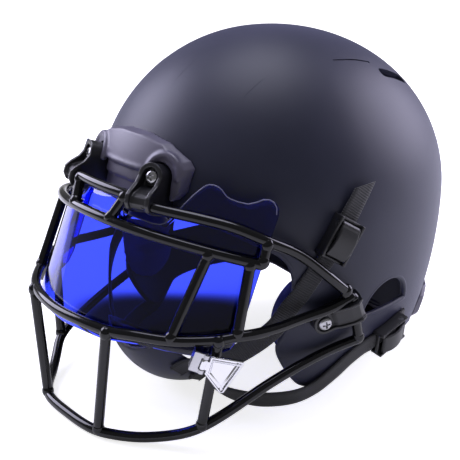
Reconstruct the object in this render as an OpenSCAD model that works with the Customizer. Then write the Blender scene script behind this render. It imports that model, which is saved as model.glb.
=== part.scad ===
// Football helmet: a hard shell with liner pads, a wire face cage with a visor,
// and a four-point chin strap with cam buckles.
// Frame: face towards -Y, wearer's left towards +X, +Z up. The helmet rests on
// its chin bar and rear bumper at Z = 0, with the origin under its middle.

/* [Shell] */
// Half width of the shell at its widest line
shell_half_width = 119; // [114:0.5:124]
// Reach of the shell in front of its centre
shell_front_reach = 128.5; // [124:0.5:132]
// Reach of the shell behind its centre
shell_rear_reach = 154.5; // [148:0.5:162]
// Rise of the crown above the widest line
crown_rise = 126.5; // [120:0.5:134]
// Depth of the skirt's curve below the widest line
skirt_depth = 215; // [200:1:230]
// Wall of the shell
shell_wall = 4; // [3:0.5:5]
// Radius of the ear opening
ear_r = 26; // [20:0.5:28]
// Width of a crown vent slot
vent_w = 7; // [5:0.5:9]
// Length of a crown vent slot
vent_len = 36; // [24:1:44]

/* [Bumpers] */
// Thickness of the front bumper over the shell
bumper_t = 8; // [6:0.5:9]
// Half width of the front bumper
bumper_half_w = 52; // [50:0.5:58]
// Thickness of the rear bumper over the shell
rear_bumper_t = 5; // [3:0.5:6]
// Height of the rear bumper
rear_bumper_h = 46; // [36:1:52]

/* [Cage] */
// Diameter of a coated cage wire
bar_d = 7.2; // [6:0.2:8]
// Radius of the drum that the front wires are bent on
cage_r = 124.5; // [123:0.5:128]
// Lean of the front of the cage from upright
cage_lean = 23.6; // [22:0.2:25]
// Stand-off of the side wires from the shell
side_gap = 8.5; // [8:0.5:11]

/* [Visor] */
// Thickness of the visor
visor_t = 2.5; // [2:0.25:3]
// Gap between the visor and the wires in front of it
visor_gap = 2; // [1:0.25:3]
// Half width of the visor on a drum of the standard radius
visor_half_w = 103; // [98:0.5:104]

/* [Clips and screws] */
// Width of a front clip
clip_w = 19; // [17:0.5:21]
// Width of a side clip
side_clip_w = 17; // [15:0.5:19]
// Diameter of a screw head
head_d = 10; // [8:0.5:11]
// Diameter of a screw shank
shank_d = 5.6; // [4:0.2:6]
// Diameter of a nut inside the shell
nut_d = 15; // [12:0.5:17]

/* [Chin strap] */
// Width of the webbing
strap_w = 14; // [12:0.5:18]
// Thickness of the webbing
strap_t = 1.8; // [1.2:0.2:2]
// Length of a buckle frame
buckle_l = 30; // [28:1:34]
// Thickness of a buckle cheek
cheek_t = 2.4; // [2:0.2:3.6]
// Height of a buckle cheek above the shell
cheek_h = 9; // [8.5:0.25:11]
// Diameter of a buckle pin
pin_d = 3; // [2:0.25:3.5]
// Half width of the chin cup
cup_half_w = 46; // [42:1:50]
// Wall of the chin cup
cup_wall = 2.5; // [2:0.25:3.5]

/* [Fit] */
// Gap between a piece and its seat
seat = 0.3; // [0.2:0.05:0.4]
// Gap between moving pieces
run = 0.4; // [0.3:0.05:0.6]

/* [Hidden] */
$fn = 64;

left = 1;
right = -1;
far = 600;
bar_r = bar_d / 2;

// Shell centre: the widest line lies this high, and this far behind the cage's datum
widest_z = 130;
shell_y = 14.7;

// The drum of the cage: its axis passes through this point, leaning back
drum_z = 100;
// The front of the cage keeps its place, and points across it are given on a drum of standard radius
cage_front = 147.5;
drum_r = 124.5;
drum_w = cage_r - cage_front;
across = cage_r / drum_r;
cage_half_w = 107.5;
visor_r = cage_r - bar_r - visor_gap;

// The overall length runs from the mouth bar to the back of the shell
mouth_drop = -82;
front_y = cage_point(0, mouth_drop).y - bar_r;
rear_y = shell_y + shell_rear_reach;
mid_y = (front_y + rear_y) / 2;

function unit(v) = v / norm(v);

// Semi-axes of the shell's egg form, grown by g, on the side where p lies
function egg_axes(p, g = 0) = [
    shell_half_width + g,
    (p.y < shell_y ? shell_front_reach : shell_rear_reach) + g,
    (p.z > widest_z ? crown_rise : skirt_depth) + g];
function egg_normal(p) =
    let (e = egg_axes(p))
    unit([p.x / pow(e.x, 2), (p.y - shell_y) / pow(e.y, 2), (p.z - widest_z) / pow(e.z, 2)]);
// Point of the left side of the shell, seen from the side, g off its surface
function side_point(y, z, g = 0) =
    let (e = egg_axes([0, y, z], g))
    [e.x * sqrt(1 - pow((y - shell_y) / e.y, 2) - pow((z - widest_z) / e.z, 2)), y, z];
// Point of the front (-1) or rear (1) of the shell, seen along Y
function end_point(x, z, dir, g = 0) =
    let (e = egg_axes([0, dir * far, z], g))
    [x, shell_y + dir * e.y * sqrt(1 - pow(x / e.x, 2) - pow((z - widest_z) / e.z, 2)), z];
// Point of the crown, seen from above
function crown_point(x, y, g = 0) =
    let (e = egg_axes([0, y, far], g))
    [x, y, widest_z + e.z * sqrt(1 - pow(x / e.x, 2) - pow((y - shell_y) / e.y, 2))];

// Point of the cage's drum, x across and s up along its leaning axis
function cage_point(x, s, r = cage_r) =
    let (x = x * across, w = drum_w - sqrt(r * r - x * x))
    [x, w * cos(cage_lean) + s * sin(cage_lean),
        drum_z + s * cos(cage_lean) - w * sin(cage_lean)];

// Smooth curve through the points of a route
function bend(p0, p1, p2, p3, t) = 0.5 * (2 * p1 + (p2 - p0) * t
    + (2 * p0 - 5 * p1 + 4 * p2 - p3) * t * t + (3 * p1 - p0 - 3 * p2 + p3) * t * t * t);
function smooth(route, steps) = let (n = len(route)) [
    for (i = [0 : n - 2], k = [0 : steps - 1])
        bend(route[max(i - 1, 0)], route[i], route[i + 1], route[min(i + 2, n - 1)], k / steps),
    route[n - 1]];
function flip(p) = [-p.x, p.y, p.z];
// A route given from the middle to the left end, carried on to the right end
function both_sides(half) = let (n = len(half))
    [for (i = [n - 1 : -1 : 1]) flip(half[i]), each half];
function tangent(path, i) =
    unit(path[min(i + 1, len(path) - 1)] - path[max(i - 1, 0)]);

// Closed skin over rings of n points each
module skin(rings) {
    n = len(rings[0]);
    m = len(rings);
    sides = [for (i = [0 : m - 2], k = [0 : n - 1])
        let (a = i * n + k, b = i * n + (k + 1) % n) each [[a, b, b + n], [a, b + n, a + n]]];
    caps = [for (k = [1 : n - 2]) each [[0, k + 1, k], [(m - 1) * n, (m - 1) * n + k, (m - 1) * n + k + 1]]];
    polyhedron([for (r = rings) each r], concat(sides, caps));
}
// Round wire of radius r along a path
module wire(path, r = bar_r, sides = 12) {
    skin([for (i = [0 : len(path) - 1])
        let (t = tangent(path, i), u = unit(cross([0, 0, 1], t)), v = cross(t, u))
        [for (k = [0 : sides - 1])
            path[i] + r * (cos(360 * k / sides) * u + sin(360 * k / sides) * v)]]);
}
// Flat strap along a path, whose outer side faces the given directions
module ribbon(path, faces, w, t) {
    skin([for (i = [0 : len(path) - 1])
        let (d = tangent(path, i), n = unit(faces[i] - (faces[i] * d) * d), v = cross(n, d))
        [for (c = [[-1, 0], [1, 0], [1, 1], [-1, 1]])
            path[i] + c[0] * w / 2 * v + c[1] * t * n]]);
}
// Straight rod between two points
module rod(a, b, r = bar_r) {
    d = b - a;
    translate(a) rotate([0, acos(d.z / norm(d)), atan2(d.y, d.x)]) cylinder(r = r, h = norm(d));
}
// Places children at p with Z along n and X nearest to the direction along
module stand(p, n, along) {
    x = unit(along - (along * n) * n);
    y = cross(n, x);
    multmatrix([[x.x, y.x, n.x, p.x], [x.y, y.y, n.y, p.y], [x.z, y.z, n.z, p.z], [0, 0, 0, 1]])
        children();
}
module on_side(side) mirror([side == right ? 1 : 0, 0, 0]) children();
module on_both() for (side = [left, right]) on_side(side) children();
// The whole helmet stands with the middle of its length over the origin
module placed() translate([0, -mid_y, 0]) children();

// The shell's form as a solid, grown by g: four quarters of ellipsoids
module egg(g = 0) {
    translate([0, shell_y, widest_z]) for (y = [-1, 1], z = [-1, 1]) {
        e = egg_axes([0, shell_y + y, widest_z + z], g);
        intersection() {
            scale(e) rotate([20, 35, 0]) sphere(1, $fn = 128);
            translate([-far / 2, y > 0 ? 0 : -far, z > 0 ? 0 : -far]) cube(far);
        }
    }
}
// Prism along X of an outline in Y and Z, and along Y of an outline in X and Z
module side_prism(points) rotate([90, 0, 90]) linear_extrude(far, center = true) polygon(points);
module front_prism(points) rotate([90, 0, 0]) linear_extrude(far) polygon(points);
module rear_prism(points) mirror([0, 1, 0]) front_prism(points);

// Outline of the shell seen from its side: brow, cheek, jaw flap and neck rim
brow_z = 156;
jaw_tip = [-55, 53];
jaw_low = [-31, 15];
rim_z = 30;
rear_bumper_rise = 2.5;
nape = [122, rear_bumper_rise];
shell_outline = [[-far / 4, brow_z], [-110, brow_z], [-88, 143], [-67, 130], [-58, 124.5], [-52, 117],
    [-49, 107], [-48.5, 98], [-49.5, 65], jaw_tip, [-45, 33], jaw_low, [-20, 13.5], [-8, 20], [6, rim_z],
    [84, rim_z], [98, 25], [110, 15], nape, [far / 3, rear_bumper_rise], [far / 3, far / 2], [-far / 4, far / 2]];
ear_y = 33.5;
ear_z = 65.5;

module ear_opening() {
    x = side_point(ear_y, ear_z + ear_r / 2).x;
    translate([0, 0, ear_z]) intersection() {
        translate([x - 30, ear_y, 0]) rotate([0, 90, 0]) cylinder(r = ear_r, h = 60);
        translate([0, -far / 2, 0]) cube(far);
    }
}
vent_x = 62;
vent_y = 86;
module vent_slot() {
    p = crown_point(vent_x, vent_y);
    stand(p, egg_normal(p), [0, 1, 0]) {
        for (x = [-1, 1]) translate([x * (vent_len - vent_w) / 2, 0, 0])
            cylinder(d = vent_w, h = 24, center = true);
        cube([vent_len - vent_w, vent_w, 24], center = true);
    }
}
groove_w = 2;
module vent_groove() {
    for (k = [0 : 2]) {
        p = crown_point(vent_x - 2 + k, vent_y - vent_len / 2 - 8 - 10 * k);
        stand(p, egg_normal(p), [0, 1, 0]) translate([-6, -groove_w / 2, -0.8]) cube([12, groove_w, 4]);
    }
}
module shell() color("#25262c") difference() {
    intersection() {
        difference() {
            egg();
            egg(-shell_wall);
        }
        side_prism(shell_outline);
    }
    on_both() {
        ear_opening();
        vent_slot();
        vent_groove();
        front_screw_frame() cylinder(d = shank_d + 2 * seat, h = far / 10, center = true);
        side_screw_frame() cylinder(d = shank_d + 2 * seat, h = far / 10, center = true);
    }
}

// Front bumper: an arch round each front clip, an apron with steps between them
bumper_top = 197;
bumper_low = 160;
apron_z = 176;
arch_gap = 1;
apron_t = 3.5;
clip_half = clip_w / 2 + arch_gap;
module front_bumper() color("#2b2b31") difference() {
    union() {
        intersection() {
            difference() {
                egg(bumper_t);
                egg(seat);
            }
            front_prism([[-bumper_half_w, bumper_low + 5], [-bumper_half_w + 4, bumper_low],
                [-clip_x - clip_half - 3, bumper_low], [-clip_x - clip_half, apron_z], [clip_x + clip_half, apron_z],
                [clip_x + clip_half + 3, bumper_low], [bumper_half_w - 4, bumper_low],
                [bumper_half_w, bumper_low + 5], [bumper_half_w, 180], [bumper_half_w - 4, 184.5],
                [30, bumper_top - 3.5], [12, bumper_top], [-12, bumper_top], [-30, bumper_top - 3.5],
                [-bumper_half_w + 4, 184.5], [-bumper_half_w, 180]]);
        }
        for (step = [0, 1]) intersection() {
            difference() {
                egg(apron_t + 2 - 2 * step);
                egg(seat);
            }
            front_prism([for (c = [[-1, 0], [1, 0], [1, 1], [-1, 1]])
                [c.x * (clip_x - clip_half), apron_z + 1 - (1 - c.y) * 10 * (step + 1)]]);
        }
    }
    on_both() front_screw_frame() {
        cylinder(r = clip_half, h = far / 8, center = true);
        translate([-clip_len / 2, 0, 0]) cube([clip_len, 2 * clip_half, far / 8], center = true);
    }
}

rear_half_w = 78;
module rear_bumper() color("#1f1f23") difference() {
    intersection() {
        difference() {
            egg(rear_bumper_t);
            egg(seat);
        }
        rear_prism([[-42, 0], [42, 0], [rear_half_w - 4, 24], [rear_half_w, 28], [rear_half_w, rear_bumper_h - 6],
            [rear_half_w - 6, rear_bumper_h], [30, rear_bumper_h], [18, rear_bumper_h - 5],
            [-18, rear_bumper_h - 5], [-30, rear_bumper_h], [-rear_half_w + 6, rear_bumper_h],
            [-rear_half_w, rear_bumper_h - 6], [-rear_half_w, 28], [-rear_half_w + 4, 24]]);
        translate([-far / 2, shell_y + 40, 0]) cube(far);
    }
    on_both() rear_screw_frame() translate([0, 0, -far / 20]) cylinder(d = shank_d, h = far / 10);
}
rear_screw_x = 52;
rear_screw_z = 33;
module rear_screw_frame() {
    p = end_point(rear_screw_x, rear_screw_z, 1, rear_bumper_t);
    stand(p, egg_normal(p), [0, 0, 1]) children();
}
module rear_bumper_screws() color("#6d6f76") on_both()
    rear_screw_frame() translate([0, 0, seat]) screw_head(head_d * 0.9, 2.2);

// Domed head with a cross recess
module screw_head(d, h) difference() {
    intersection() {
        cylinder(d = d, h = h);
        translate([0, 0, h - d]) sphere(d);
    }
    for (a = [0, 90]) rotate(a) translate([0, 0, h]) cube([d * 0.55, d * 0.14, h], center = true);
}
module screw(d, h, length) {
    screw_head(d, h);
    translate([0, 0, -length]) cylinder(d = shank_d, h = length + h / 2);
}

// Cage wires, each given from the middle to the left end
function beside(dx, y, z) = [shell_half_width + dx, y, z];
side_top = side_point(-12.5, 92, side_gap);
side_low = side_point(0.5, 55, side_gap - 0.5);
brow_half = [cage_point(0, 7.2, cage_r - 1.6), cage_point(14, 7.3, cage_r - 1.4), cage_point(28, 7.6, cage_r - 1),
    cage_point(38, 6.4, cage_r - 0.7), cage_point(49, 5.4, cage_r - 0.2), cage_point(65, 7.2), cage_point(81, 9.2),
    cage_point(95, 10.2), cage_point(cage_half_w, 8), side_point(-52, 129, side_gap + 1), side_point(-32, 110, side_gap + 1),
    side_point(-18.5, 97.5, side_gap + 0.5)];
eye_half = [cage_point(0, -12), cage_point(11, -12), cage_point(21, -12), cage_point(36, -12),
    cage_point(54, -11.4), cage_point(72, -10.3), cage_point(87, -9.2), cage_point(100, -8), cage_point(108, -7)];
mouth_half = [cage_point(0, mouth_drop), cage_point(24, mouth_drop + 1), cage_point(47, -79.5), cage_point(63, -75.5),
    cage_point(82, -71), cage_point(95, -65), cage_point(103, -60), cage_point(cage_half_w, -55.5),
    beside(-7, -90, 83.5), beside(-6, -70, 82.3), side_point(-46, 82.5, side_gap + 1.5), side_point(-30, 85.5, side_gap + 0.5),
    side_point(-17.5, 90, side_gap), side_top];
chin_half = [[0, front_y + bar_r + 2.8, bar_r], [18, front_y + bar_r + 3.2, bar_r], [33.5, -162, bar_r],
    [48, -153.5, bar_r], [61, -142.5, bar_r + 0.4], [78, -128.5, bar_r + 5], [90.2, -117, 15.5], beside(-22, -97, 24.5),
    beside(-18, -74, 33.8), beside(-14, -50, 41.6), beside(-8, -20, 49.6), side_low];

// The lower posts stand this far out on the mouth bar, clear of the visor's lower edge
post_out = 1.8;

// Front clips: each is screwed to the brow and holds the brow bar in its hook
clip_x = 33;
clip_z = 171;
clip_lift = 15;
clip_len = 24;
head_h = 3;
clip_floor = -2.5;
// Play in the hook, because the brow bar is slightly bent within it
hook_play = 0.8;
function front_clip_point() = let (p = end_point(clip_x, clip_z, -1)) p + clip_lift * egg_normal(p);
module front_screw_frame() {
    p = end_point(clip_x, clip_z, -1);
    stand(front_clip_point(), egg_normal(p), [0, 0, 1]) children();
}
hook_from = brow_half[2];
hook_to = brow_half[4];
module front_clip(side) color("#17171a") on_side(side) difference() {
    front_screw_frame() difference() {
        intersection() {
            rotate([90, 0, 0]) linear_extrude(clip_w, center = true)
                polygon([[clip_w / 2, -clip_lift - 4], [clip_w / 2, 0], [-6, 1], [-8, 8], [-10.5, 11.2],
                    [-14, 12.2], [-19, 12], [-22.5, 9.5], [-clip_len, 5], [-clip_len, -6], [-20, -clip_lift - 4]]);
            linear_extrude(far / 8, center = true) union() {
                circle(d = clip_w);
                translate([-clip_len, -clip_w / 2]) square([clip_len, clip_w]);
            }
        }
        translate([0, 0, clip_floor]) cylinder(d = head_d + 2, h = far / 10);
        translate([-5, 0, 5 + clip_floor + 1.5]) cube([clip_w - 4, clip_w - 5, 10], center = true);
        cylinder(d = shank_d + 2 * seat, h = far / 10, center = true);
    }
    egg(seat);
    rod(hook_from - 0.3 * (hook_to - hook_from), hook_to + 0.3 * (hook_to - hook_from), bar_r + hook_play);
}

// Side clips: a pad on the jaw flap with a hook over the rear wire of the cage
side_screw = [-27.5, 75.5];
side_clip_top = 9;
side_hook_top = 14;
hook_level = 0.26;
function side_hook() = side_top + hook_level * (side_low - side_top);
module side_screw_frame() {
    p = side_point(side_screw[0], side_screw[1]);
    stand(p, egg_normal(p), side_hook() - p) children();
}
module side_clip(side) color("#1b1b1f") on_side(side) difference() {
    reach = norm(side_hook() - side_point(side_screw[0], side_screw[1], side_gap));
    side_screw_frame() difference() {
        union() {
            translate([0, 0, -6]) cylinder(d = side_clip_w, h = side_clip_top + 6);
            translate([0, -side_clip_w / 2 + 0.5, -6]) cube([reach, side_clip_w - 1, side_clip_top + 6]);
            translate([reach, 0, -6]) cylinder(d = side_clip_w - 1, h = side_hook_top + 4);
            translate([reach, 0, side_hook_top - 2]) cylinder(d1 = side_clip_w - 1, d2 = side_clip_w - 5, h = 2);
        }
        translate([0, 0, side_clip_top - 2.5]) cylinder(d = head_d + 2, h = far / 10);
        cylinder(d = shank_d + 2 * seat, h = far / 10, center = true);
    }
    egg(seat);
    rod(side_top + 0.2 * (side_top - side_low), side_low, bar_r + seat);
    for (i = [10 : 12]) rod(mouth_half[i], mouth_half[i + 1], bar_r + 1);
}
module clip_screws() color("#c9cacf") on_both() {
    front_screw_frame() translate([0, 0, clip_floor + seat]) screw(head_d, head_h, clip_lift + shell_wall - 1);
    side_screw_frame() translate([0, 0, side_clip_top - 2.5 + seat])
        screw(head_d, head_h, side_clip_top + shell_wall - 1);
}
nut_h = 4;
// A flat nut stands clear of the hollow inner face by the rise of that face over its width
nut_drop = shell_wall + seat + pow(nut_d / 2, 2) / (2 * (shell_half_width - shell_wall - 10));
module nut_body(grow = 0) {
    difference() {
        translate([0, 0, -nut_h - grow]) cylinder(d = nut_d + 2 * grow, h = nut_h + (grow > 0 ? shell_wall : 0));
        if (grow == 0) translate([0, 0, -far / 20]) cylinder(d = shank_d + 2 * seat, h = far / 10);
    }
}
module front_nut(grow = 0) front_screw_frame() translate([0, 0, -clip_lift - nut_drop]) nut_body(grow);
module side_nut(grow = 0) side_screw_frame() translate([0, 0, -nut_drop]) nut_body(grow);
module clip_nuts() color("#8d8f96") on_both() {
    front_nut();
    side_nut();
}

// Liner: pads that swell inwards from the shell's inner face, with channels
module pad(p, size, channels, pole = [20, 35, 0]) difference() {
    intersection() {
        egg(-shell_wall - seat);
        translate(p) scale(size) rotate(pole) sphere(1, $fn = 128);
    }
    for (c = channels) translate(p + c[0]) cube(c[1], center = true);
}
channel_w = 3;
module crown_pad() color("#2b3080") pad(crown_point(0, 14), [62, 74, 26],
    [for (x = [-20, 20]) [[x, 0, -26], [channel_w, 200, 14]]], [0, 90, 0]);
module front_pad() color("#2b3080") difference() {
    pad(end_point(0, 182, -1), [76, 24, 27], [for (x = [-25, 25]) [[x, 24, 0], [channel_w, 16, 100]]]);
    on_both() front_nut(1);
}
module rear_pad() color("#2b3080") pad(end_point(0, 128, 1), [80, 24, 44],
    [for (x = [-27, 27]) [[x, -24, 0], [channel_w, 16, 120]]], [0, 90, 0]);
module nape_pad() color("#2b3080") intersection() {
    pad(end_point(0, 52, 1), [66, 24, 27], [for (x = [-22, 22]) [[x, -24, 0], [channel_w, 16, 120]]]);
    translate([-far / 2, 0, rear_bumper_rise + 4]) cube(far);
}
module side_pad(side) color("#2b3080") on_side(side)
    pad(side_point(38, 146), [24, 44, 44], [for (y = [-15, 15]) [[-24, y, 0], [16, channel_w, 120]]], [90, 0, 0]);
module jaw_pad(side) color("#2b3080") on_side(side) difference() {
    pad(side_point(-32, 70), [22, 33, 38], [[[-22, 0, 4], [14, 90, channel_w]]]);
    side_nut(1);
}

module brow_bar() color("#101013") wire(smooth(both_sides(brow_half), 3));
module eye_bar() color("#101013") wire(smooth(both_sides(eye_half), 2));
module mouth_bar() color("#101013") wire(smooth(both_sides(mouth_half), 3));
module chin_bar() color("#101013") wire(smooth(both_sides(chin_half), 3));
module post(side, a, b) color("#101013") on_side(side) rod(a, b);

// Visor: a bent sheet behind the wires, with a wing above the brow bar on each side
visor_outline = [[0, -89], [40, -87], [62, -81.5], [76, -79.5], [88, -77], [97, -72], [visor_half_w, -62],
    [visor_half_w, 27], [visor_half_w - 2, 32.5], [visor_half_w - 5, 34], [visor_half_w - 8, 31.5],
    [92, 26.8], [84, 26.2], [79.5, 30.5], [75, 31.8], [70.5, 30], [62, 12], [56, -2], [52, -4.5], [0, -4.5]];
visor_rim = [for (p = visor_outline) [p.x * across, p.y]];
module visor() color("#2733d8", 0.45) on_drum() intersection() {
    difference() {
        cylinder(r = visor_r, h = far / 2, center = true, $fn = 128);
        cylinder(r = visor_r - visor_t, h = far, center = true, $fn = 128);
    }
    front_prism(concat(visor_rim, [for (i = [len(visor_rim) - 2 : -1 : 1]) [-visor_rim[i].x, visor_rim[i].y]]));
}
// Local frame of the cage's drum: Z along its leaning axis
module on_drum() {
    translate([0, drum_w * cos(cage_lean), drum_z - drum_w * sin(cage_lean)]) rotate([-cage_lean, 0, 0]) children();
}

// Visor clips: a saddle on each lower corner of the visor and a tapered lever
hinge_low = cage_point(99, -84.66, visor_r + 5.83);
hinge_top = cage_point(102, -71.15, visor_r + 9.15);
hinge_r = 2.2;
lever_out = [0.8, -0.6, 0];
lever_t = 2.4;
lever_top = hinge_r - 0.4;
lever_axis = unit(hinge_top - hinge_low);
hinge_len = norm(hinge_top - hinge_low);
lever_root = hinge_r + run;
lever_neck = hinge_len / 4 - run / 2 - 0.5;
knuckle = hinge_len / 4 - run;
lever_end_low = [16, -15.5];
lever_end_top = [24, 9];
saddle_h = 9;
module lever_frame() stand((hinge_low + hinge_top) / 2, unit(lever_out - (lever_out * lever_axis) * lever_axis),
    cross(lever_axis, lever_out)) children();
// In the lever's frame X runs back along the plate and Y up along the hinge
module visor_clip_lever(side) color("#d7d8de") on_side(side) lever_frame() difference() {
    union() {
        rotate([90, 0, 0]) cylinder(r = hinge_r, h = hinge_len / 2 - run, center = true);
        translate([0, 0, lever_top - lever_t]) linear_extrude(lever_t)
            polygon([[0, -lever_neck], [lever_root, -lever_neck], [lever_root, -hinge_len / 2 + 1], lever_end_low,
                lever_end_low + [3, 1], lever_end_top, lever_end_top + [-1, 1.5], [lever_root, hinge_len / 2],
                [lever_root, lever_neck], [0, lever_neck]]);
    }
    rotate([90, 0, 0]) cylinder(d = visor_pin_d + 2 * run, h = far, center = true);
    translate([0, 0, lever_top - 0.5]) linear_extrude(2)
        polygon([[5, -hinge_len / 2 + 1.5], [16, -11], [20.5, 5.5], [5, hinge_len / 2 - 2.5]]);
}
visor_pin_d = 1.8;
module visor_clip_base(side) color("#9b9ca3") on_side(side) difference() {
    union() {
        lever_frame() for (y = [-1, 1]) translate([0, y * (hinge_len - knuckle) / 2, 0]) {
            rotate([90, 0, 0]) cylinder(r = hinge_r, h = knuckle, center = true);
            translate([-lever_root - 1, -knuckle / 2, -hinge_r]) cube([lever_root + 1, knuckle, hinge_r + 1]);
        }
        intersection() {
            lever_frame() translate([-lever_root - 5.5, -hinge_len / 2, -saddle_h]) cube([5.5, hinge_len, saddle_h + 1]);
            on_drum() difference() {
                cylinder(r = far, h = far, center = true);
                cylinder(r = visor_r + seat, h = 2 * far, center = true, $fn = 128);
            }
        }
    }
    lever_frame() rotate([90, 0, 0]) cylinder(d = visor_pin_d, h = far, center = true);
}
module visor_clip_pins() color("#9b9ca3") on_both() lever_frame() rotate([90, 0, 0])
    cylinder(d = visor_pin_d - 0.1, h = hinge_len, center = true);

// Chin cup: a shallow bowl that hangs from the straps, with a pad inside
cup_at = [0, -82, 33];
cup_tilt = -35;
cup_depth = 25;
cup_half_l = 33;
cup_r = (pow(cup_half_w, 2) + pow(cup_depth, 2)) / (2 * cup_depth);
cup_pad_t = 8;
module cup_frame() translate(cup_at) rotate([cup_tilt, 0, 0]) children();
// Part of a ball, cut flat at the rim and along its front and rear edges
module cup_form(g, rim, half_l) intersection() {
    translate([0, 0, cup_r - cup_depth]) rotate([90, 0, 0]) sphere(cup_r + g, $fn = 128);
    translate([-far / 2, -half_l, rim - far]) cube([far, 2 * half_l, far]);
}
module chin_cup() color("#1c1f3a") cup_frame() difference() {
    cup_form(0, 0, cup_half_l);
    cup_form(-cup_wall, 1, far / 2);
    for (y = [-14, 14]) translate([0, y, -2 * cup_depth]) cylinder(d = 7, h = 2 * cup_depth);
}
module chin_cup_pad() color("#15182c") cup_frame() difference() {
    cup_form(-cup_wall - seat, -2, cup_half_l - 3);
    cup_form(-cup_wall - cup_pad_t, 1, far / 2);
    translate([0, 0, -cup_depth + cup_wall + cup_pad_t]) cube([channel_w, far, cup_pad_t], center = true);
}
// Point of the cup's outer face at x and y of its own frame, g off it, and the way it faces there
function cup_seat(x, y, g) =
    let (d = unit([x, y, -sqrt(pow(cup_r, 2) - x * x - y * y)]),
        q = [0, 0, cup_r - cup_depth] + (cup_r + g) * d,
        c = cos(cup_tilt), k = sin(cup_tilt))
    [cup_at + [q.x, q.y * c - q.z * k, q.y * k + q.z * c], [d.x, d.y * c - d.z * k, d.y * k + d.z * c]];

// Webbing: [point, outward direction] down from the tail, over the shell to the cup
strap_off = 0.5;
function shell_seat(y, z, g) = let (p = side_point(y, z, g)) [p, egg_normal(p)];
upper_route = [shell_seat(5, 170.5, strap_off), shell_seat(-3, 160, strap_off), shell_seat(-12, 147.5, strap_off),
    shell_seat(-20.5, 133.5, strap_off), shell_seat(-28, 121, strap_off), shell_seat(-37, 108, strap_off),
    shell_seat(-44, 96, strap_off), [side_point(-50.5, 86, strap_off + 0.4), [0.9, -0.42, 0]],
    [[97.5, -60, 73.5], [0.85, -0.5, 0.1]], [[87, -70.5, 60], [0.7, -0.7, 0.15]],
    [[72, -80, 47], [0.7, -0.7, 0]], [[57, -88, 39], [0.7, -0.65, -0.2]],
    cup_seat(43, -9.5, strap_off + 0.4), cup_seat(35, -9.5, strap_off + 0.3)];
lower_route = [shell_seat(62, 51.5, strap_off), shell_seat(52, 47.2, strap_off), shell_seat(41, 43.8, strap_off),
    shell_seat(28, 41.8, strap_off), shell_seat(15, 39, strap_off), shell_seat(3, 33, strap_off),
    shell_seat(-8, 24, strap_off + 0.4), [side_point(-21, 14.5, strap_off + 1.5), [0.92, -0.2, -0.3]],
    [[92.5, -38, 11.5], [0.85, -0.4, -0.3]], [[81, -57, 11.5], [0.7, -0.6, -0.3]],
    [[67, -70, 14.5], [0.7, -0.45, -0.5]], [[54.5, -76, 18.5], [0.7, -0.3, -0.6]],
    cup_seat(43, 9.5, strap_off + 0.4), cup_seat(35, 9.5, strap_off + 0.3)];
module strap(side, route) color("#1a1a1e") on_side(side)
    ribbon(smooth([for (q = route) q[0]], 2), smooth([for (q = route) q[1]], 2), strap_w, strap_t);

// Cam buckles: X runs along the strap to its tail, Z stands off the shell
upper_at = [-20.5, 133.5];
upper_dir = [0, 17, 26.5];
lower_at = [41, 43.8];
lower_dir = [0, 22, 4.6];
pin_x = 9.5;
pin_z = 7;
lever_gap = 0.3;
frame_w = strap_w + 2.4 + 2 * cheek_t;
deck_z = strap_off + strap_t + 0.6;
module buckle_stand(at, dir) {
    p = side_point(at[0], at[1]);
    stand(p, egg_normal(p), dir) children();
}
module buckle(side, at, dir) color("#141417") on_side(side) difference() {
    buckle_stand(at, dir) difference() {
        union() {
            for (y = [-1, 1]) translate([-buckle_l / 2, y > 0 ? frame_w / 2 - cheek_t : -frame_w / 2, -6])
                cube([buckle_l, cheek_t, cheek_h + 6]);
            for (x = [-buckle_l / 2, buckle_l / 2 - 2]) translate([x, -frame_w / 2, deck_z]) cube([2, frame_w, 2.6]);
        }
        translate([pin_x, 0, pin_z]) rotate([90, 0, 0]) cylinder(d = pin_d + 0.1, h = far, center = true);
    }
    egg(seat);
}
lever_r = 24;
lever_wall = 2.2;
lever_tip = -12.5;
lever_drop = -12;
module cam_lever(side, at, dir) color("#1e1e22") on_side(side) buckle_stand(at, dir) difference() {
    w = frame_w - 2 * cheek_t - 2 * lever_gap;
    union() {
        translate([pin_x, 0, pin_z]) rotate([90, 0, 0]) cylinder(r = pin_d / 2 + 1.6, h = w, center = true);
        intersection() {
            translate([-1, 0, lever_drop]) rotate([90, 0, 0]) difference() {
                cylinder(r = lever_r, h = w, center = true);
                cylinder(r = lever_r - lever_wall, h = far, center = true);
            }
            translate([lever_tip, -far / 2, 0]) cube([pin_x - lever_tip, far, far]);
        }
    }
    translate([pin_x, 0, pin_z]) rotate([90, 0, 0]) cylinder(d = pin_d + 2 * run, h = far, center = true);
}
module buckle_pins() color("#55565c") on_both() for (q = [[upper_at, upper_dir], [lower_at, lower_dir]])
    buckle_stand(q[0], q[1]) translate([pin_x, 0, pin_z]) rotate([90, 0, 0])
        cylinder(d = pin_d, h = frame_w, center = true);

module cage_post(name, a, b) {
    placed() post(left, a, b);
    placed() post(right, a, b);
}

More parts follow.
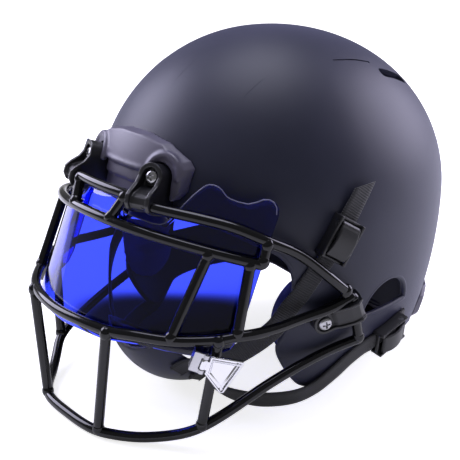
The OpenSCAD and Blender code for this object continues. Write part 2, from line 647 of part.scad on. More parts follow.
placed() shell();
placed() front_bumper();
placed() rear_bumper();
placed() rear_bumper_screws();
placed() crown_pad();
placed() front_pad();
placed() rear_pad();
placed() nape_pad();
placed() side_pad(left);  // side_pad_left
placed() side_pad(right);  // side_pad_right
placed() jaw_pad(left);  // jaw_pad_left
placed() jaw_pad(right);  // jaw_pad_right
placed() brow_bar();
placed() eye_bar();
placed() mouth_bar();
placed() chin_bar();
cage_post("loop_post", brow_half[2], eye_half[2]);
cage_post("eye_post", eye_half[6], mouth_half[4]);
cage_post("temple_post", cage_point(104, -7.5), mouth_half[7]);
cage_post("end_post", brow_half[8], eye_half[8]);
cage_post("chin_post", cage_point(47, -79.5, cage_r + post_out), chin_half[2]);
cage_post("jaw_post", cage_point(103, -60, cage_r + post_out), chin_half[6]);
cage_post("side_post", side_top, side_low);
placed() front_clip(left);  // front_clip_left
placed() front_clip(right);  // front_clip_right
placed() side_clip(left);  // side_clip_left
placed() side_clip(right);  // side_clip_right
placed() clip_screws();
placed() clip_nuts();
placed() visor();
placed() visor_clip_base(left);  // visor_clip_base_left
placed() visor_clip_base(right);  // visor_clip_base_right
placed() visor_clip_lever(left);  // visor_clip_lever_left
placed() visor_clip_lever(right);  // visor_clip_lever_right
placed() visor_clip_pins();
placed() chin_cup();
placed() chin_cup_pad();
placed() strap(left, upper_route);  // upper_strap_left
placed() strap(right, upper_route);  // upper_strap_right
placed() strap(left, lower_route);  // lower_strap_left
placed() strap(right, lower_route);  // lower_strap_right
placed() buckle(left, upper_at, upper_dir);  // upper_buckle_left
placed() buckle(right, upper_at, upper_dir);  // upper_buckle_right
placed() buckle(left, lower_at, lower_dir);  // lower_buckle_left
placed() buckle(right, lower_at, lower_dir);  // lower_buckle_right
placed() cam_lever(left, upper_at, upper_dir);  // upper_lever_left
placed() cam_lever(right, upper_at, upper_dir);  // upper_lever_right
placed() cam_lever(left, lower_at, lower_dir);  // lower_lever_left
placed() cam_lever(right, lower_at, lower_dir);  // lower_lever_right
placed() buckle_pins();
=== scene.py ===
"""Football helmet: finished pieces, materials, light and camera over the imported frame."""
from math import asin, atan2, copysign, cos, exp, pi, radians, sin, sqrt

import bmesh
import bpy
from mathutils import Matrix, Vector
from mathutils.bvhtree import BVHTree


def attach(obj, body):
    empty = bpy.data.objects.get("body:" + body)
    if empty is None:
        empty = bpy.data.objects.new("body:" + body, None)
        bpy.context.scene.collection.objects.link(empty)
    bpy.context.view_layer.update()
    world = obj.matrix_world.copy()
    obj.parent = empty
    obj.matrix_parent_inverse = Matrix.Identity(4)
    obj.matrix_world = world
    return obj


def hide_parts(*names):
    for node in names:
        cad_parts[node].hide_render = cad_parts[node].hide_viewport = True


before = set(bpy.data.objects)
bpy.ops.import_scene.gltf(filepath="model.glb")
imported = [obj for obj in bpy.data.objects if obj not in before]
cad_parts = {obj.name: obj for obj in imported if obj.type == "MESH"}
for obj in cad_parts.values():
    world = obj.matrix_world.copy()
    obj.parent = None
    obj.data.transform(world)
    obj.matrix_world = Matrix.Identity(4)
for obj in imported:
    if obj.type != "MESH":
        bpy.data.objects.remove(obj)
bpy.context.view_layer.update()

SIDES = ("left", "right")

# Sizes in millimetres, as in the part's source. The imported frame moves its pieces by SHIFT.
MM = 0.001
SHIFT = Vector((0, 1.19606, 0))
SHELL_Y, WIDEST_Z = 14.7, 130.0
HALF_WIDTH, FRONT_REACH, REAR_REACH = 119.0, 128.5, 154.5
CROWN_RISE, SKIRT_DEPTH = 126.5, 215.0
SHELL_WALL, SEAT = 4.0, 0.3
BAR_R, CAGE_R, CAGE_LEAN, SIDE_GAP = 3.6, 124.5, radians(23.6), 8.5
DRUM_Z, DRUM_W = 100.0, -23.0
VISOR_R, VISOR_T, VISOR_HALF_W = 118.9, 2.5, 103.0
STRAP_W, STRAP_T, STRAP_OFF = 14.0, 1.8, 0.5
MOUTH_DROP, POST_OUT = -82.0, 1.8


# Forms shared with the part's source

def egg_axes(y, z, g=0.0):
    return (HALF_WIDTH + g, (FRONT_REACH if y < SHELL_Y else REAR_REACH) + g,
            (CROWN_RISE if z > WIDEST_Z else SKIRT_DEPTH) + g)


def egg_level(p, g=0.0):
    """Below 1 inside the shell's form grown by g, above 1 outside."""
    a, b, c = egg_axes(p[1], p[2], g)
    return sqrt((p[0] / a) ** 2 + ((p[1] - SHELL_Y) / b) ** 2 + ((p[2] - WIDEST_Z) / c) ** 2)


def egg_normal(p):
    a, b, c = egg_axes(p[1], p[2])
    return Vector((p[0] / a ** 2, (p[1] - SHELL_Y) / b ** 2, (p[2] - WIDEST_Z) / c ** 2)).normalized()


def side_point(y, z, g=0.0):
    a, b, c = egg_axes(y, z, g)
    rest = 1 - ((y - SHELL_Y) / b) ** 2 - ((z - WIDEST_Z) / c) ** 2
    return Vector((a * sqrt(max(rest, 0.0)), y, z))


def end_point(x, z, way, g=0.0):
    a, b, c = egg_axes(SHELL_Y + way, z, g)
    return Vector((x, SHELL_Y + way * b * sqrt(max(1 - (x / a) ** 2 - ((z - WIDEST_Z) / c) ** 2, 0.0)), z))


def crown_point(x, y, g=0.0):
    a, b, c = egg_axes(y, 999, g)
    return Vector((x, y, WIDEST_Z + c * sqrt(max(1 - (x / a) ** 2 - ((y - SHELL_Y) / b) ** 2, 0.0))))


def cage_point(x, s, r=CAGE_R):
    w = DRUM_W - sqrt(r * r - x * x)
    return Vector((x, w * cos(CAGE_LEAN) + s * sin(CAGE_LEAN),
                   DRUM_Z + s * cos(CAGE_LEAN) - w * sin(CAGE_LEAN)))


def smooth(route, steps):
    """Smooth curve through the points of a route."""
    out = []
    for i in range(len(route) - 1):
        p0, p1 = route[max(i - 1, 0)], route[i]
        p2, p3 = route[i + 1], route[min(i + 2, len(route) - 1)]
        for k in range(steps):
            t = k / steps
            out.append(0.5 * (2 * p1 + (p2 - p0) * t + (2 * p0 - 5 * p1 + 4 * p2 - p3) * t * t
                              + (3 * p1 - p0 - 3 * p2 + p3) * t ** 3))
    return out + [route[-1].copy()]


def turns(n):
    return [2 * pi * k / n for k in range(n)]


def flip(p):
    return Vector((-p[0], p[1], p[2]))


def both_sides(half):
    return [flip(p) for p in reversed(half[1:])] + list(half)


def side_of(points, side):
    return list(points) if side == "left" else [flip(p) for p in points]


SIDE_TOP = side_point(-12.5, 92, SIDE_GAP)
SIDE_LOW = side_point(0.5, 55, SIDE_GAP - 0.5)
FRONT_Y = cage_point(0, MOUTH_DROP).y - BAR_R
# Half of each wire, from the middle to the left
BROW = [cage_point(x, s, CAGE_R - d) for x, s, d in (
    (0, 7.2, 1.6), (14, 7.3, 1.4), (28, 7.6, 1), (38, 6.4, 0.7), (49, 5.4, 0.2), (65, 7.2, 0), (81, 9.2, 0),
    (95, 10.2, 0), (107.5, 8, 0))] + [
    side_point(y, z, SIDE_GAP + g) for y, z, g in ((-52, 129, 1), (-32, 110, 1), (-18.5, 97.5, 0.5))]
EYE = [cage_point(x, s) for x, s in ((0, -12), (11, -12), (21, -12), (36, -12), (54, -11.4), (72, -10.3),
                                     (87, -9.2), (100, -8), (108, -7))]
MOUTH = [cage_point(x, s) for x, s in ((0, MOUTH_DROP), (24, MOUTH_DROP + 1), (47, -79.5), (63, -75.5), (82, -71),
                                       (95, -65), (103, -60), (107.5, -55.5))] + [
    Vector((112, -90, 83.5)), Vector((113, -70, 82.3)), side_point(-46, 82.5, SIDE_GAP + 1.5),
    side_point(-30, 85.5, SIDE_GAP + 0.5), side_point(-17.5, 90, SIDE_GAP), SIDE_TOP]
CHIN = [Vector(p) for p in (
    (0, FRONT_Y + BAR_R + 2.8, BAR_R), (18, FRONT_Y + BAR_R + 3.2, BAR_R), (33.5, -162, BAR_R), (48, -153.5, BAR_R),
    (61, -142.5, BAR_R + 0.4), (78, -128.5, BAR_R + 5), (90.2, -117, 15.5), (97, -97, 24.5), (101, -74, 33.8),
    (105, -50, 41.6), (111, -20, 49.6))] + [SIDE_LOW]
POSTS = {"loop_post": (BROW[2], EYE[2]), "eye_post": (EYE[6], MOUTH[4]),
         "temple_post": (cage_point(104, -7.5), MOUTH[7]), "end_post": (BROW[8], EYE[8]),
         "chin_post": (cage_point(47, -79.5, CAGE_R + POST_OUT), CHIN[2]),
         "jaw_post": (cage_point(103, -60, CAGE_R + POST_OUT), CHIN[6]), "side_post": (SIDE_TOP, SIDE_LOW)}


# Mesh helpers

def place(p):
    return (Vector(p) + SHIFT) * MM


def loose_object(name, data):
    ob = bpy.data.objects.new(name, data)
    bpy.context.scene.collection.objects.link(ob)
    return ob


def finished(ob, mat, replaces=(), body="helmet"):
    """Gives a piece its finish, the CAD nodes that it stands for and the body that it rides on."""
    if mat:
        ob.data.materials.clear()
        ob.data.materials.append(mat)
    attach(ob, body)
    if replaces:
        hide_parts(*replaces)
    return ob


def plain_mesh(name, verts, faces=()):
    me = bpy.data.meshes.new(name)
    me.from_pydata(verts, [], faces)
    return me


def mesh_from(name, bm):
    me = bpy.data.meshes.new(name)
    bm.to_mesh(me)
    bm.free()
    return me


def build_mesh(name, verts, faces, uvs=None, shade=True):
    """Mesh of points in millimetres; uvs holds one pair for each vertex."""
    me = plain_mesh(name, [place(v) for v in verts], faces)
    if uvs:
        layer = me.uv_layers.new(name="UVMap")
        for loop in me.loops:
            layer.data[loop.index].uv = uvs[loop.vertex_index]
    if shade:
        all_smooth(me)
    me.update()
    return me


def closed_up(me, turned=False, merged=True):
    """Mesh with its loose seams merged and, where asked, its faces turned outwards."""
    bm = bmesh.new()
    bm.from_mesh(me)
    if merged:
        bmesh.ops.remove_doubles(bm, verts=bm.verts, dist=1e-6)
    if turned:
        bmesh.ops.recalc_face_normals(bm, faces=bm.faces)
    bm.to_mesh(me)
    bm.free()
    return me


def solid_mesh(name, verts, faces, shade=True):
    return closed_up(build_mesh(name, verts, faces, shade=shade), turned=True)


def add_solid(name, data, mat, replaces=()):
    return finished(loose_object(name, solid_mesh(name, *data)), mat, replaces)


def applied(ob):
    """Plain mesh of an object with its modifiers, which are removed."""
    bpy.context.view_layer.update()
    dg = bpy.context.evaluated_depsgraph_get()
    me = bpy.data.meshes.new_from_object(ob.evaluated_get(dg))
    ob.modifiers.clear()
    ob.data = me
    return ob


def softened(ob, voxel, rounds):
    """Even skin over an object, its edges rounded by smoothing; voxel in millimetres."""
    remesh = ob.modifiers.new("remesh", "REMESH")
    remesh.mode, remesh.voxel_size = "VOXEL", voxel * MM
    soft = ob.modifiers.new("soft", "SMOOTH")
    soft.factor, soft.iterations = 0.5, rounds
    return applied(ob)


def cut_by(ob, tool):
    mod = ob.modifiers.new("cut", "BOOLEAN")
    mod.operation, mod.solver, mod.object = "DIFFERENCE", "EXACT", tool
    applied(ob)
    bpy.data.objects.remove(tool)


def bevelled(ob, width, degrees):
    edge = ob.modifiers.new("edge", "BEVEL")
    edge.width, edge.segments, edge.limit_method = width * MM, 2, "ANGLE"
    edge.angle_limit = radians(degrees)
    return applied(ob)


def all_smooth(me):
    me.polygons.foreach_set("use_smooth", [True] * len(me.polygons))


def shade_by_angle(me, degrees=35):
    all_smooth(me)
    me.set_sharp_from_angle(angle=radians(degrees))


def tangents(path):
    n = len(path)
    return [(path[min(i + 1, n - 1)] - path[max(i - 1, 0)]).normalized() for i in range(n)]


def skin(rows, m, closed=False):
    """Faces over rows of m points, each row a ring, with flat ends unless the rows meet."""
    faces = []
    for i in range(rows if closed else rows - 1):
        j = (i + 1) % rows
        faces += [(i * m + k, i * m + (k + 1) % m, j * m + (k + 1) % m, j * m + k) for k in range(m)]
    if not closed:
        faces += [tuple(reversed(range(m))), tuple(range((rows - 1) * m, rows * m))]
    return faces


DOME_RISE, DOME_STEPS = 0.55, (0.45, 0.9, 1.25)


def tube_data(path, r, sides=20, closed=False):
    """Rings round a path, with domed ends where it is open."""
    pts = [Vector(p) for p in path]
    n = len(pts)
    if closed:
        ts = [(pts[(i + 1) % n] - pts[i - 1]).normalized() for i in range(n)]
    else:
        ts = tangents(pts)
    u = ts[0].orthogonal().normalized()
    rings = []
    for p, t in zip(pts, ts):
        u = (u - u.dot(t) * t).normalized()
        rings.append((p, u, t.cross(u), r))
    if closed:
        # Spread the twist that the frame gathers on its way round
        u = (u - u.dot(ts[0]) * ts[0]).normalized()
        twist = atan2(u.dot(rings[0][2]), u.dot(rings[0][1]))
        for i, (p, u, v, _) in enumerate(rings):
            c, k = cos(-twist * i / n), sin(-twist * i / n)
            rings[i] = (p, u * c + v * k, v * c - u * k, r)
    else:
        for end, way in ((0, -1), (-1, 1)):
            p, u, v, _ = rings[end]
            dome = [(p + way * ts[end] * r * DOME_RISE * sin(a), u, v, r * cos(a)) for a in DOME_STEPS]
            rings = dome[::-1] + rings if way < 0 else rings + dome
    verts = [p + w * (cos(a) * u + sin(a) * v) for p, u, v, w in rings for a in turns(sides)]
    return verts, skin(len(rings), sides, closed)


def joined(parts):
    verts, faces = [], []
    for v, f in parts:
        base = len(verts)
        verts += v
        faces += [tuple(i + base for i in q) for q in f]
    return verts, faces


def tube(name, path, r, mat, replaces=(), sides=20, closed=False):
    return add_solid(name, tube_data(path, r, sides, closed), mat, replaces)


def cad_mesh(node):
    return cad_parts[node].data


def moulded(name, node, mat, voxel, rounds, extra=(), core=True, body="helmet"):
    """CAD solid with its edges rounded as in a mould, with further pieces run into it or in its place."""
    me = cad_mesh(node).copy()
    bm = bmesh.new()
    if core:
        bm.from_mesh(me)
    for v, f in extra:
        made = [bm.verts.new(place(p)) for p in v]
        for q in f:
            bm.faces.new([made[i] for i in q])
    bmesh.ops.remove_doubles(bm, verts=bm.verts, dist=1e-6)
    bm.to_mesh(me)
    bm.free()
    ob = softened(loose_object(name, me), voxel, rounds)
    all_smooth(ob.data)
    return finished(ob, mat, (node,), body)


# Materials

def set_inputs(node, values):
    """Sets inputs of a node, and links those that are given an output of another."""
    for key, value in values.items():
        if isinstance(value, bpy.types.NodeSocket):
            node.id_data.links.new(value, node.inputs[key])
        else:
            node.inputs[key].default_value = value


def node_of(tree, kind, inputs=None, **values):
    """New node with its settings and inputs."""
    n = tree.nodes.new(kind)
    for key, value in values.items():
        setattr(n, key, value)
    set_inputs(n, inputs or {})
    return n


def combined(tree, operation, a, b, kind="ShaderNodeMath"):
    return node_of(tree, kind, {0: a, 1: b}, operation=operation).outputs[0]


def new_material(name):
    mat = bpy.data.materials.new(name)
    mat.use_nodes = True
    return mat, mat.node_tree, mat.node_tree.nodes["Principled BSDF"]


def coords_of(tree, kind="Object"):
    return node_of(tree, "ShaderNodeTexCoord").outputs[kind]


def noise_of(tree, scale, detail):
    """Noise on the piece's own coordinates."""
    inputs = {"Vector": coords_of(tree), "Scale": scale, "Detail": detail}
    return node_of(tree, "ShaderNodeTexNoise", inputs).outputs["Fac"]


def spread(tree, value, low, high, start=0.0, end=1.0, kind="LINEAR"):
    """Takes a value between start and end to one between low and high."""
    inputs = {"Value": value, "From Min": start, "From Max": end, "To Min": low, "To Max": high}
    return node_of(tree, "ShaderNodeMapRange", inputs, interpolation_type=kind).outputs["Result"]


def two_tone(tree, value, dark, light, ends):
    ramp = node_of(tree, "ShaderNodeValToRGB", {"Fac": value})
    for element, colour, at in zip(ramp.color_ramp.elements, (dark, light), ends):
        element.color, element.position = (*colour, 1), at
    return ramp.outputs["Color"]


def relief_of(tree, height, strength, distance):
    inputs = {"Height": height, "Strength": strength, "Distance": distance}
    return node_of(tree, "ShaderNodeBump", inputs).outputs["Normal"]


def finish_of(name, dark, light, rough, grain, bump, metallic=0.0, coat=0.0, sheen=0.0, rough_spread=0.08,
              patch=18.0, sheen_tint=(0.7, 0.7, 1.0, 1), specular=0.5):
    """Surface whose colour and gloss wander in soft patches, over a fine grain."""
    mat, tree, bsdf = new_material(name)
    patches = noise_of(tree, patch, 4)
    set_inputs(bsdf, {"Base Color": two_tone(tree, patches, dark, light, (0.32, 0.7)),
                      "Roughness": spread(tree, patches, max(rough - rough_spread, 0.02), rough + rough_spread),
                      "Normal": relief_of(tree, noise_of(tree, grain, 3), bump, 0.0004), "Metallic": metallic,
                      "Specular IOR Level": specular, "Coat Weight": coat, "Coat Roughness": 0.12,
                      "Sheen Weight": sheen, "Sheen Roughness": 0.45, "Sheen Tint": sheen_tint})
    return mat


def webbing_finish(name, dark, light, ribs):
    """Woven strap: ribs across its length and a fine twill, on the strap's own UV in metres."""
    mat, tree, bsdf = new_material(name)
    uv = coords_of(tree, "UV")
    rib = node_of(tree, "ShaderNodeTexWave", {"Vector": uv, "Scale": ribs, "Distortion": 0.6}, bands_direction="Y",
                  wave_profile="SIN")
    twill = node_of(tree, "ShaderNodeTexWave", {"Vector": uv, "Scale": ribs * 1.7}, bands_direction="DIAGONAL",
                    wave_profile="TRI")
    weave = node_of(tree, "ShaderNodeMix", {"Factor": 0.22, 2: rib.outputs["Fac"], 3: twill.outputs["Fac"]},
                    data_type="FLOAT").outputs[0]
    set_inputs(bsdf, {"Base Color": two_tone(tree, weave, dark, light, (0, 1)),
                      "Normal": relief_of(tree, weave, 0.6, 0.0005), "Roughness": 0.62, "Sheen Weight": 0.25})
    return mat


def visor_finish():
    """Clear blue sheet with faint waviness."""
    mat, tree, bsdf = new_material("visor_blue")
    set_inputs(bsdf, {"Base Color": (0.032, 0.056, 0.76, 1), "Transmission Weight": 1.0, "IOR": 1.49,
                      "Roughness": spread(tree, noise_of(tree, 9, 2), 0.0, 0.035)})
    return mat


SHELL_PAINT = finish_of("shell_paint", (0.019, 0.021, 0.040), (0.025, 0.027, 0.050), 0.47, 2600, 0.12,
                        sheen=0.1, rough_spread=0.04, sheen_tint=(0.5, 0.5, 1.0, 1), specular=0.38)
RUBBER = finish_of("bumper_rubber", (0.080, 0.073, 0.112), (0.1, 0.092, 0.138), 0.44, 1500, 0.16, sheen=0.1,
                   sheen_tint=(0.6, 0.55, 1.0, 1), specular=0.75)
COATING = finish_of("cage_coating", (0.003, 0.003, 0.004), (0.005, 0.005, 0.007), 0.13, 420, 0.04,
                    rough_spread=0.05, specular=0.42)
CLIP_BLACK = finish_of("clip_black", (0.008, 0.008, 0.01), (0.015, 0.015, 0.018), 0.34, 1300, 0.12, coat=0.1)
BUCKLE_BLACK = finish_of("buckle_black", (0.007, 0.007, 0.009), (0.014, 0.014, 0.016), 0.38, 1500, 0.14)
BRIGHT_STEEL = finish_of("bright_steel", (0.42, 0.42, 0.44), (0.62, 0.62, 0.64), 0.26, 900, 0.1, metallic=1.0)
DARK_STEEL = finish_of("dark_steel", (0.1, 0.1, 0.11), (0.2, 0.2, 0.21), 0.35, 900, 0.12, metallic=1.0)
CHROME = finish_of("polished_chrome", (0.7, 0.7, 0.73), (0.82, 0.82, 0.84), 0.09, 240, 0.03, metallic=1.0,
                   rough_spread=0.04)
LINER = finish_of("liner_skin", (0.045, 0.055, 0.32), (0.085, 0.1, 0.55), 0.62, 900, 0.3, sheen=0.35, patch=30)
CUP_SHELL = finish_of("cup_shell", (0.010, 0.011, 0.03), (0.018, 0.02, 0.05), 0.4, 900, 0.15)
CUP_SOFT = finish_of("cup_soft", (0.01, 0.01, 0.025), (0.02, 0.02, 0.045), 0.75, 700, 0.4, sheen=0.3)
RIBBED_WEB = webbing_finish("ribbed_webbing", (0.004, 0.004, 0.006), (0.02, 0.02, 0.025), 190)
PLAIN_WEB = webbing_finish("plain_webbing", (0.008, 0.008, 0.010), (0.018, 0.018, 0.021), 420)
THREAD = finish_of("black_thread", (0.012, 0.012, 0.014), (0.03, 0.03, 0.034), 0.6, 2000, 0.2)
VISOR_BLUE = visor_finish()
# Light finish for the visor's top lip: a painted highlight of the edge catching light, over its own gloss
VISOR_EDGE_HIGHLIGHT = finish_of("visor_edge_highlight", (0.12, 0.12, 0.22), (0.2, 0.2, 0.34), 0.25, 900, 0.05)


# Camera, placed first

CAMERA_AT, CAMERA_LENS = (551.5, -472.9, 366.7), 78.8
CAMERA_RIGHT, CAMERA_UP, CAMERA_BACK = (0.6363, 0.7715, 0), (-0.2639, 0.2177, 0.9397), (0.7249, -0.5979, 0.3421)


def make_camera():
    data = bpy.data.cameras.new("camera")
    data.sensor_width, data.lens = 36, CAMERA_LENS
    data.clip_start, data.clip_end = 0.01, 50
    cam = loose_object("camera", data)
    turn = Matrix((CAMERA_RIGHT, CAMERA_UP, CAMERA_BACK)).transposed().to_4x4()
    cam.matrix_world = Matrix.Translation(place(CAMERA_AT)) @ turn
    bpy.context.scene.camera = cam


# Shell

SHELL_OUTLINE = [(-150, 160), (-116, 158.2), (-108, 154.6), (-88, 143), (-67, 130), (-58, 124.5), (-52, 117),
                 (-49, 107), (-48.5, 98), (-49.5, 65), (-55, 53), (-45, 33), (-31, 15), (-20, 13.5), (-8, 20),
                 (6, 30), (84, 30), (98, 25), (110, 15), (122, 2.5), (200, 2.5), (200, 300), (-150, 300)]
RIM_R = 2.2
EVEN_RAYS, BROW_RAYS, BROW_FROM, BROW_SPAN, SHELL_RINGS = 420, 90, 163.05, 15, 46


def cut_corners(points, rounds):
    """Closed outline with its corners rounded by cutting them."""
    for _ in range(rounds):
        points = [tuple(a[i] * k + b[i] * (1 - k) for i in (0, 1))
                  for a, b in zip(points, points[1:] + points[:1]) for k in (0.75, 0.25)]
    return points


def inset(points, d):
    """Closed outline moved inwards by d, whichever way it runs."""
    area = sum(a[0] * b[1] - b[0] * a[1] for a, b in zip(points, points[1:] + points[:1]))
    way = 1 if area > 0 else -1
    out = []
    for i, p in enumerate(points):
        a, b = Vector(points[i - 1]), Vector(points[(i + 1) % len(points)])
        t = (b - a).normalized()
        out.append((p[0] - way * t.y * d, p[1] + way * t.x * d))
    return out


def ray_hit(points, origin, way):
    best = 1e9
    for a, b in zip(points, points[1:] + points[:1]):
        ex, ey = b[0] - a[0], b[1] - a[1]
        den = way[0] * ey - way[1] * ex
        if abs(den) < 1e-12:
            continue
        ax, ay = a[0] - origin[0], a[1] - origin[1]
        d = (ax * ey - ay * ex) / den
        k = (ax * way[1] - ay * way[0]) / den
        if d > 0 and -1e-9 <= k <= 1 + 1e-9:
            best = min(best, d)
    return best


def side_reach(cy, cz, g=0.0):
    """How far the shell's form runs along a way in the side view."""
    _, b, c = egg_axes(SHELL_Y + cy, WIDEST_Z + cz, g)
    return 1 / sqrt((cy / b) ** 2 + (cz / c) ** 2)


def egg_at(spin, t, g):
    """Point of the left half: spin turns in the side view, t runs from the side's middle outwards."""
    cy, cz = cos(spin), sin(spin)
    d = sin(t) * side_reach(cy, cz, g)
    return Vector(((HALF_WIDTH + g) * cos(t), SHELL_Y + d * cy, WIDEST_Z + d * cz))


def shell_data():
    """Closed half shell on rays from the middle of its side, and its rim."""
    outline = inset(cut_corners(SHELL_OUTLINE, 3), RIM_R - 0.2)
    # Rays stand closer where they graze the brow
    angles = sorted(turns(EVEN_RAYS) + [radians(BROW_FROM + BROW_SPAN * i / BROW_RAYS)
                                        for i in range(BROW_RAYS)])
    spins, rings = len(angles), SHELL_RINGS
    limit = []
    for spin in angles:
        way = (cos(spin), sin(spin))
        reach = side_reach(*way)
        hit = ray_hit(outline, (SHELL_Y, WIDEST_Z), way)
        limit.append(pi / 2 if hit >= reach else asin(hit / reach))
    verts, faces = [], []
    for g in (0.0, -SHELL_WALL):
        verts.append(egg_at(0, 0, g))
        for k in range(1, rings + 1):
            for i in range(spins):
                verts.append(egg_at(angles[i], limit[i] * k / rings, g))
    layer = 1 + rings * spins

    def at(level, k, i):
        return level * layer + 1 + (k - 1) * spins + i % spins

    for i in range(spins):
        for level in (0, 1):
            faces.append((level * layer, at(level, 1, i), at(level, 1, i + 1)))
            for k in range(1, rings):
                faces.append((at(level, k, i), at(level, k + 1, i), at(level, k + 1, i + 1), at(level, k, i + 1)))
        on_middle = limit[i] > pi / 2 - 1e-6 and limit[(i + 1) % spins] > pi / 2 - 1e-6
        if not on_middle:
            faces.append((at(0, rings, i), at(1, rings, i), at(1, rings, i + 1), at(0, rings, i + 1)))
    rim = [egg_at(spin, t, -SHELL_WALL / 2) for spin, t in zip(angles, limit) if t < pi / 2 - 1e-6]
    return verts, faces, rim


def prism(points, depth, at, x_way, y_way):
    """Prism over an outline, half its depth to either side of a plane through at."""
    n = x_way.cross(y_way)
    verts = [at + x_way * p[0] + y_way * p[1] + n * h for h in (-depth / 2, depth / 2) for p in points]
    return verts, skin(2, len(points))


X_WAY, Y_WAY, Z_WAY = Vector((1, 0, 0)), Vector((0, 1, 0)), Vector((0, 0, 1))
EAR_X, EAR_Y, EAR_Z, EAR_R, EAR_CUT = 108, 33.5, 65.5, 26.0, 60
VENT_X, VENT_Y, VENT_LEN, VENT_W, VENT_CUT = 62.0, 86.0, 40.0, 8.5, 24
GROOVES, GROOVE_LEN, GROOVE_W, GROOVE_STEP = 3, 15, 2.0, 12
GROOVE_X, GROOVE_Y, GROOVE_SLOPE, GROOVE_LIFT = VENT_X - 2.5, VENT_Y - VENT_LEN / 2 - 10, 0.6, 0.3
# Across, front end and rear end of each mould line
MOULD_LINES = ((-54, -62, -22), (1, -84, -34), (54, -62, -22))
LINE_R, LINE_SINK, LINE_END_SINK, RIM_SIDES = 0.34, 0.22, 0.3, 14


def ear_outline():
    """Half disc with eased lower corners, in Y and Z."""
    pts = [(EAR_Y + EAR_R * cos(a), EAR_Z + EAR_R * sin(a))
           for a in [pi * k / 40 for k in range(41)]]
    return cut_corners(pts, 2)


def slot_outline(length, width):
    r = width / 2
    ends = [(length / 2 - r + r * cos(a), r * sin(a)) for a in
            [pi * k / 8 - pi / 2 for k in range(9)]]
    return ends + [(-x, -y) for x, y in ends]


def frame_at(n, along):
    x = (along - along.dot(n) * n).normalized()
    return x, n.cross(x)


def make_shell():
    verts, faces, rim = shell_data()
    half = len(verts)
    verts = verts + [flip(v) for v in verts]
    faces = faces + [tuple(reversed([i + half for i in q])) for q in faces]
    body = loose_object("shell_body", solid_mesh("shell_body", verts, faces))
    p = crown_point(VENT_X, VENT_Y)
    slots = [prism(ear_outline(), EAR_CUT, X_WAY * EAR_X, Y_WAY, Z_WAY),
             prism(slot_outline(VENT_LEN, VENT_W), VENT_CUT, p, *frame_at(egg_normal(p), Y_WAY))]
    for k in range(GROOVES):
        p = crown_point(GROOVE_X + GROOVE_SLOPE * k, GROOVE_Y - GROOVE_STEP * k)
        n = egg_normal(p)
        ways = frame_at(n, Vector((0.06, 1, 0)))
        slots.append(prism(slot_outline(GROOVE_LEN, GROOVE_W), GROOVE_W, p + n * GROOVE_LIFT, *ways))
    for side in SIDES:
        for v, f in slots:
            cut_by(body, loose_object("cut", solid_mesh("cut", side_of(v, side), f, False)))
    shade_by_angle(body.data, 40)
    finished(body, SHELL_PAINT, ("shell",))
    # The rim runs down the left side to the nape, across it, and up the right side to the brow
    loop = rim + [flip(p) for p in reversed(rim)]
    loop = [p for i, p in enumerate(loop) if (p - loop[i - 1]).length > 0.6]
    tube("shell_rim", loop, RIM_R, SHELL_PAINT, sides=RIM_SIDES, closed=True)
    path = [side_point(y, z, -SHELL_WALL / 2) for y, z in ear_outline()]
    path = [p for i, p in enumerate(path) if (p - path[i - 1]).length > 0.3]
    rims = [tube_data(side_of(path, side), RIM_R, RIM_SIDES, True) for side in SIDES]
    add_solid("ear_rims", joined(rims), SHELL_PAINT)
    lines = []
    for x, front, rear in MOULD_LINES:
        # Sunk further at both ends, so that the line runs out
        path = [crown_point(x, front + (rear - front) * k / 20, -LINE_SINK - LINE_END_SINK * (k / 10 - 1) ** 2)
                for k in range(21)]
        lines.append(tube_data(path, LINE_R, 8))
    add_solid("mould_lines", joined(lines), SHELL_PAINT)


# Cage

def relaxed(path, rounds):
    """Path with its bends evened out, between fixed ends."""
    for _ in range(rounds):
        path = [path[0]] + [(a + 2 * b + c) / 4 for a, b, c in zip(path, path[1:], path[2:])] + [path[-1]]
    return path


def make_cage():
    for name, half in (("brow_bar", BROW), ("eye_bar", EYE), ("mouth_bar", MOUTH), ("chin_bar", CHIN)):
        tube(f"{name}_wire", relaxed(smooth(both_sides(half), 8), 10), BAR_R, COATING, (name,))
    for name, ends in POSTS.items():
        for side in SIDES:
            p, q = side_of(ends, side)
            tube(f"{name}_{side}_wire", [p + (q - p) * k / 8 for k in range(9)], BAR_R, COATING,
                 (f"{name}_{side}",))


# What repeats: a base shape on spots that carry the way it faces and the way it runs

def spots_tree():
    tree = bpy.data.node_groups.new("shape_on_spots", "GeometryNodeTree")
    face = tree.interface
    for name, kind in (("Geometry", "Geometry"), ("Shape", "Object"), ("Size", "Float"), ("Finish", "Material")):
        face.new_socket(name, in_out="INPUT", socket_type=f"NodeSocket{kind}")
    face.new_socket("Geometry", in_out="OUTPUT", socket_type="NodeSocketGeometry")
    given, turned = node_of(tree, "NodeGroupInput"), None
    for attribute, axis, pivot in (("facing", "Z", "AUTO"), ("along", "X", "Z")):
        way = node_of(tree, "GeometryNodeInputNamedAttribute", {"Name": attribute}, data_type="FLOAT_VECTOR")
        turn = node_of(tree, "FunctionNodeAlignRotationToVector", {"Vector": way.outputs["Attribute"]}, axis=axis,
                       pivot_axis=pivot)
        if turned:
            set_inputs(turn, {"Rotation": turned})
        turned = turn.outputs["Rotation"]
    shape = node_of(tree, "GeometryNodeObjectInfo", {"Object": given.outputs["Shape"]})
    stand = node_of(tree, "GeometryNodeInstanceOnPoints", {
        "Points": given.outputs["Geometry"], "Instance": shape.outputs["Geometry"], "Rotation": turned,
        "Scale": given.outputs["Size"]})
    real = node_of(tree, "GeometryNodeRealizeInstances", {"Geometry": stand.outputs["Instances"]})
    paint = node_of(tree, "GeometryNodeSetMaterial", {
        "Geometry": real.outputs["Geometry"], "Material": given.outputs["Finish"]})
    node_of(tree, "NodeGroupOutput", {"Geometry": paint.outputs["Geometry"]})
    return tree


SPOTS = spots_tree()


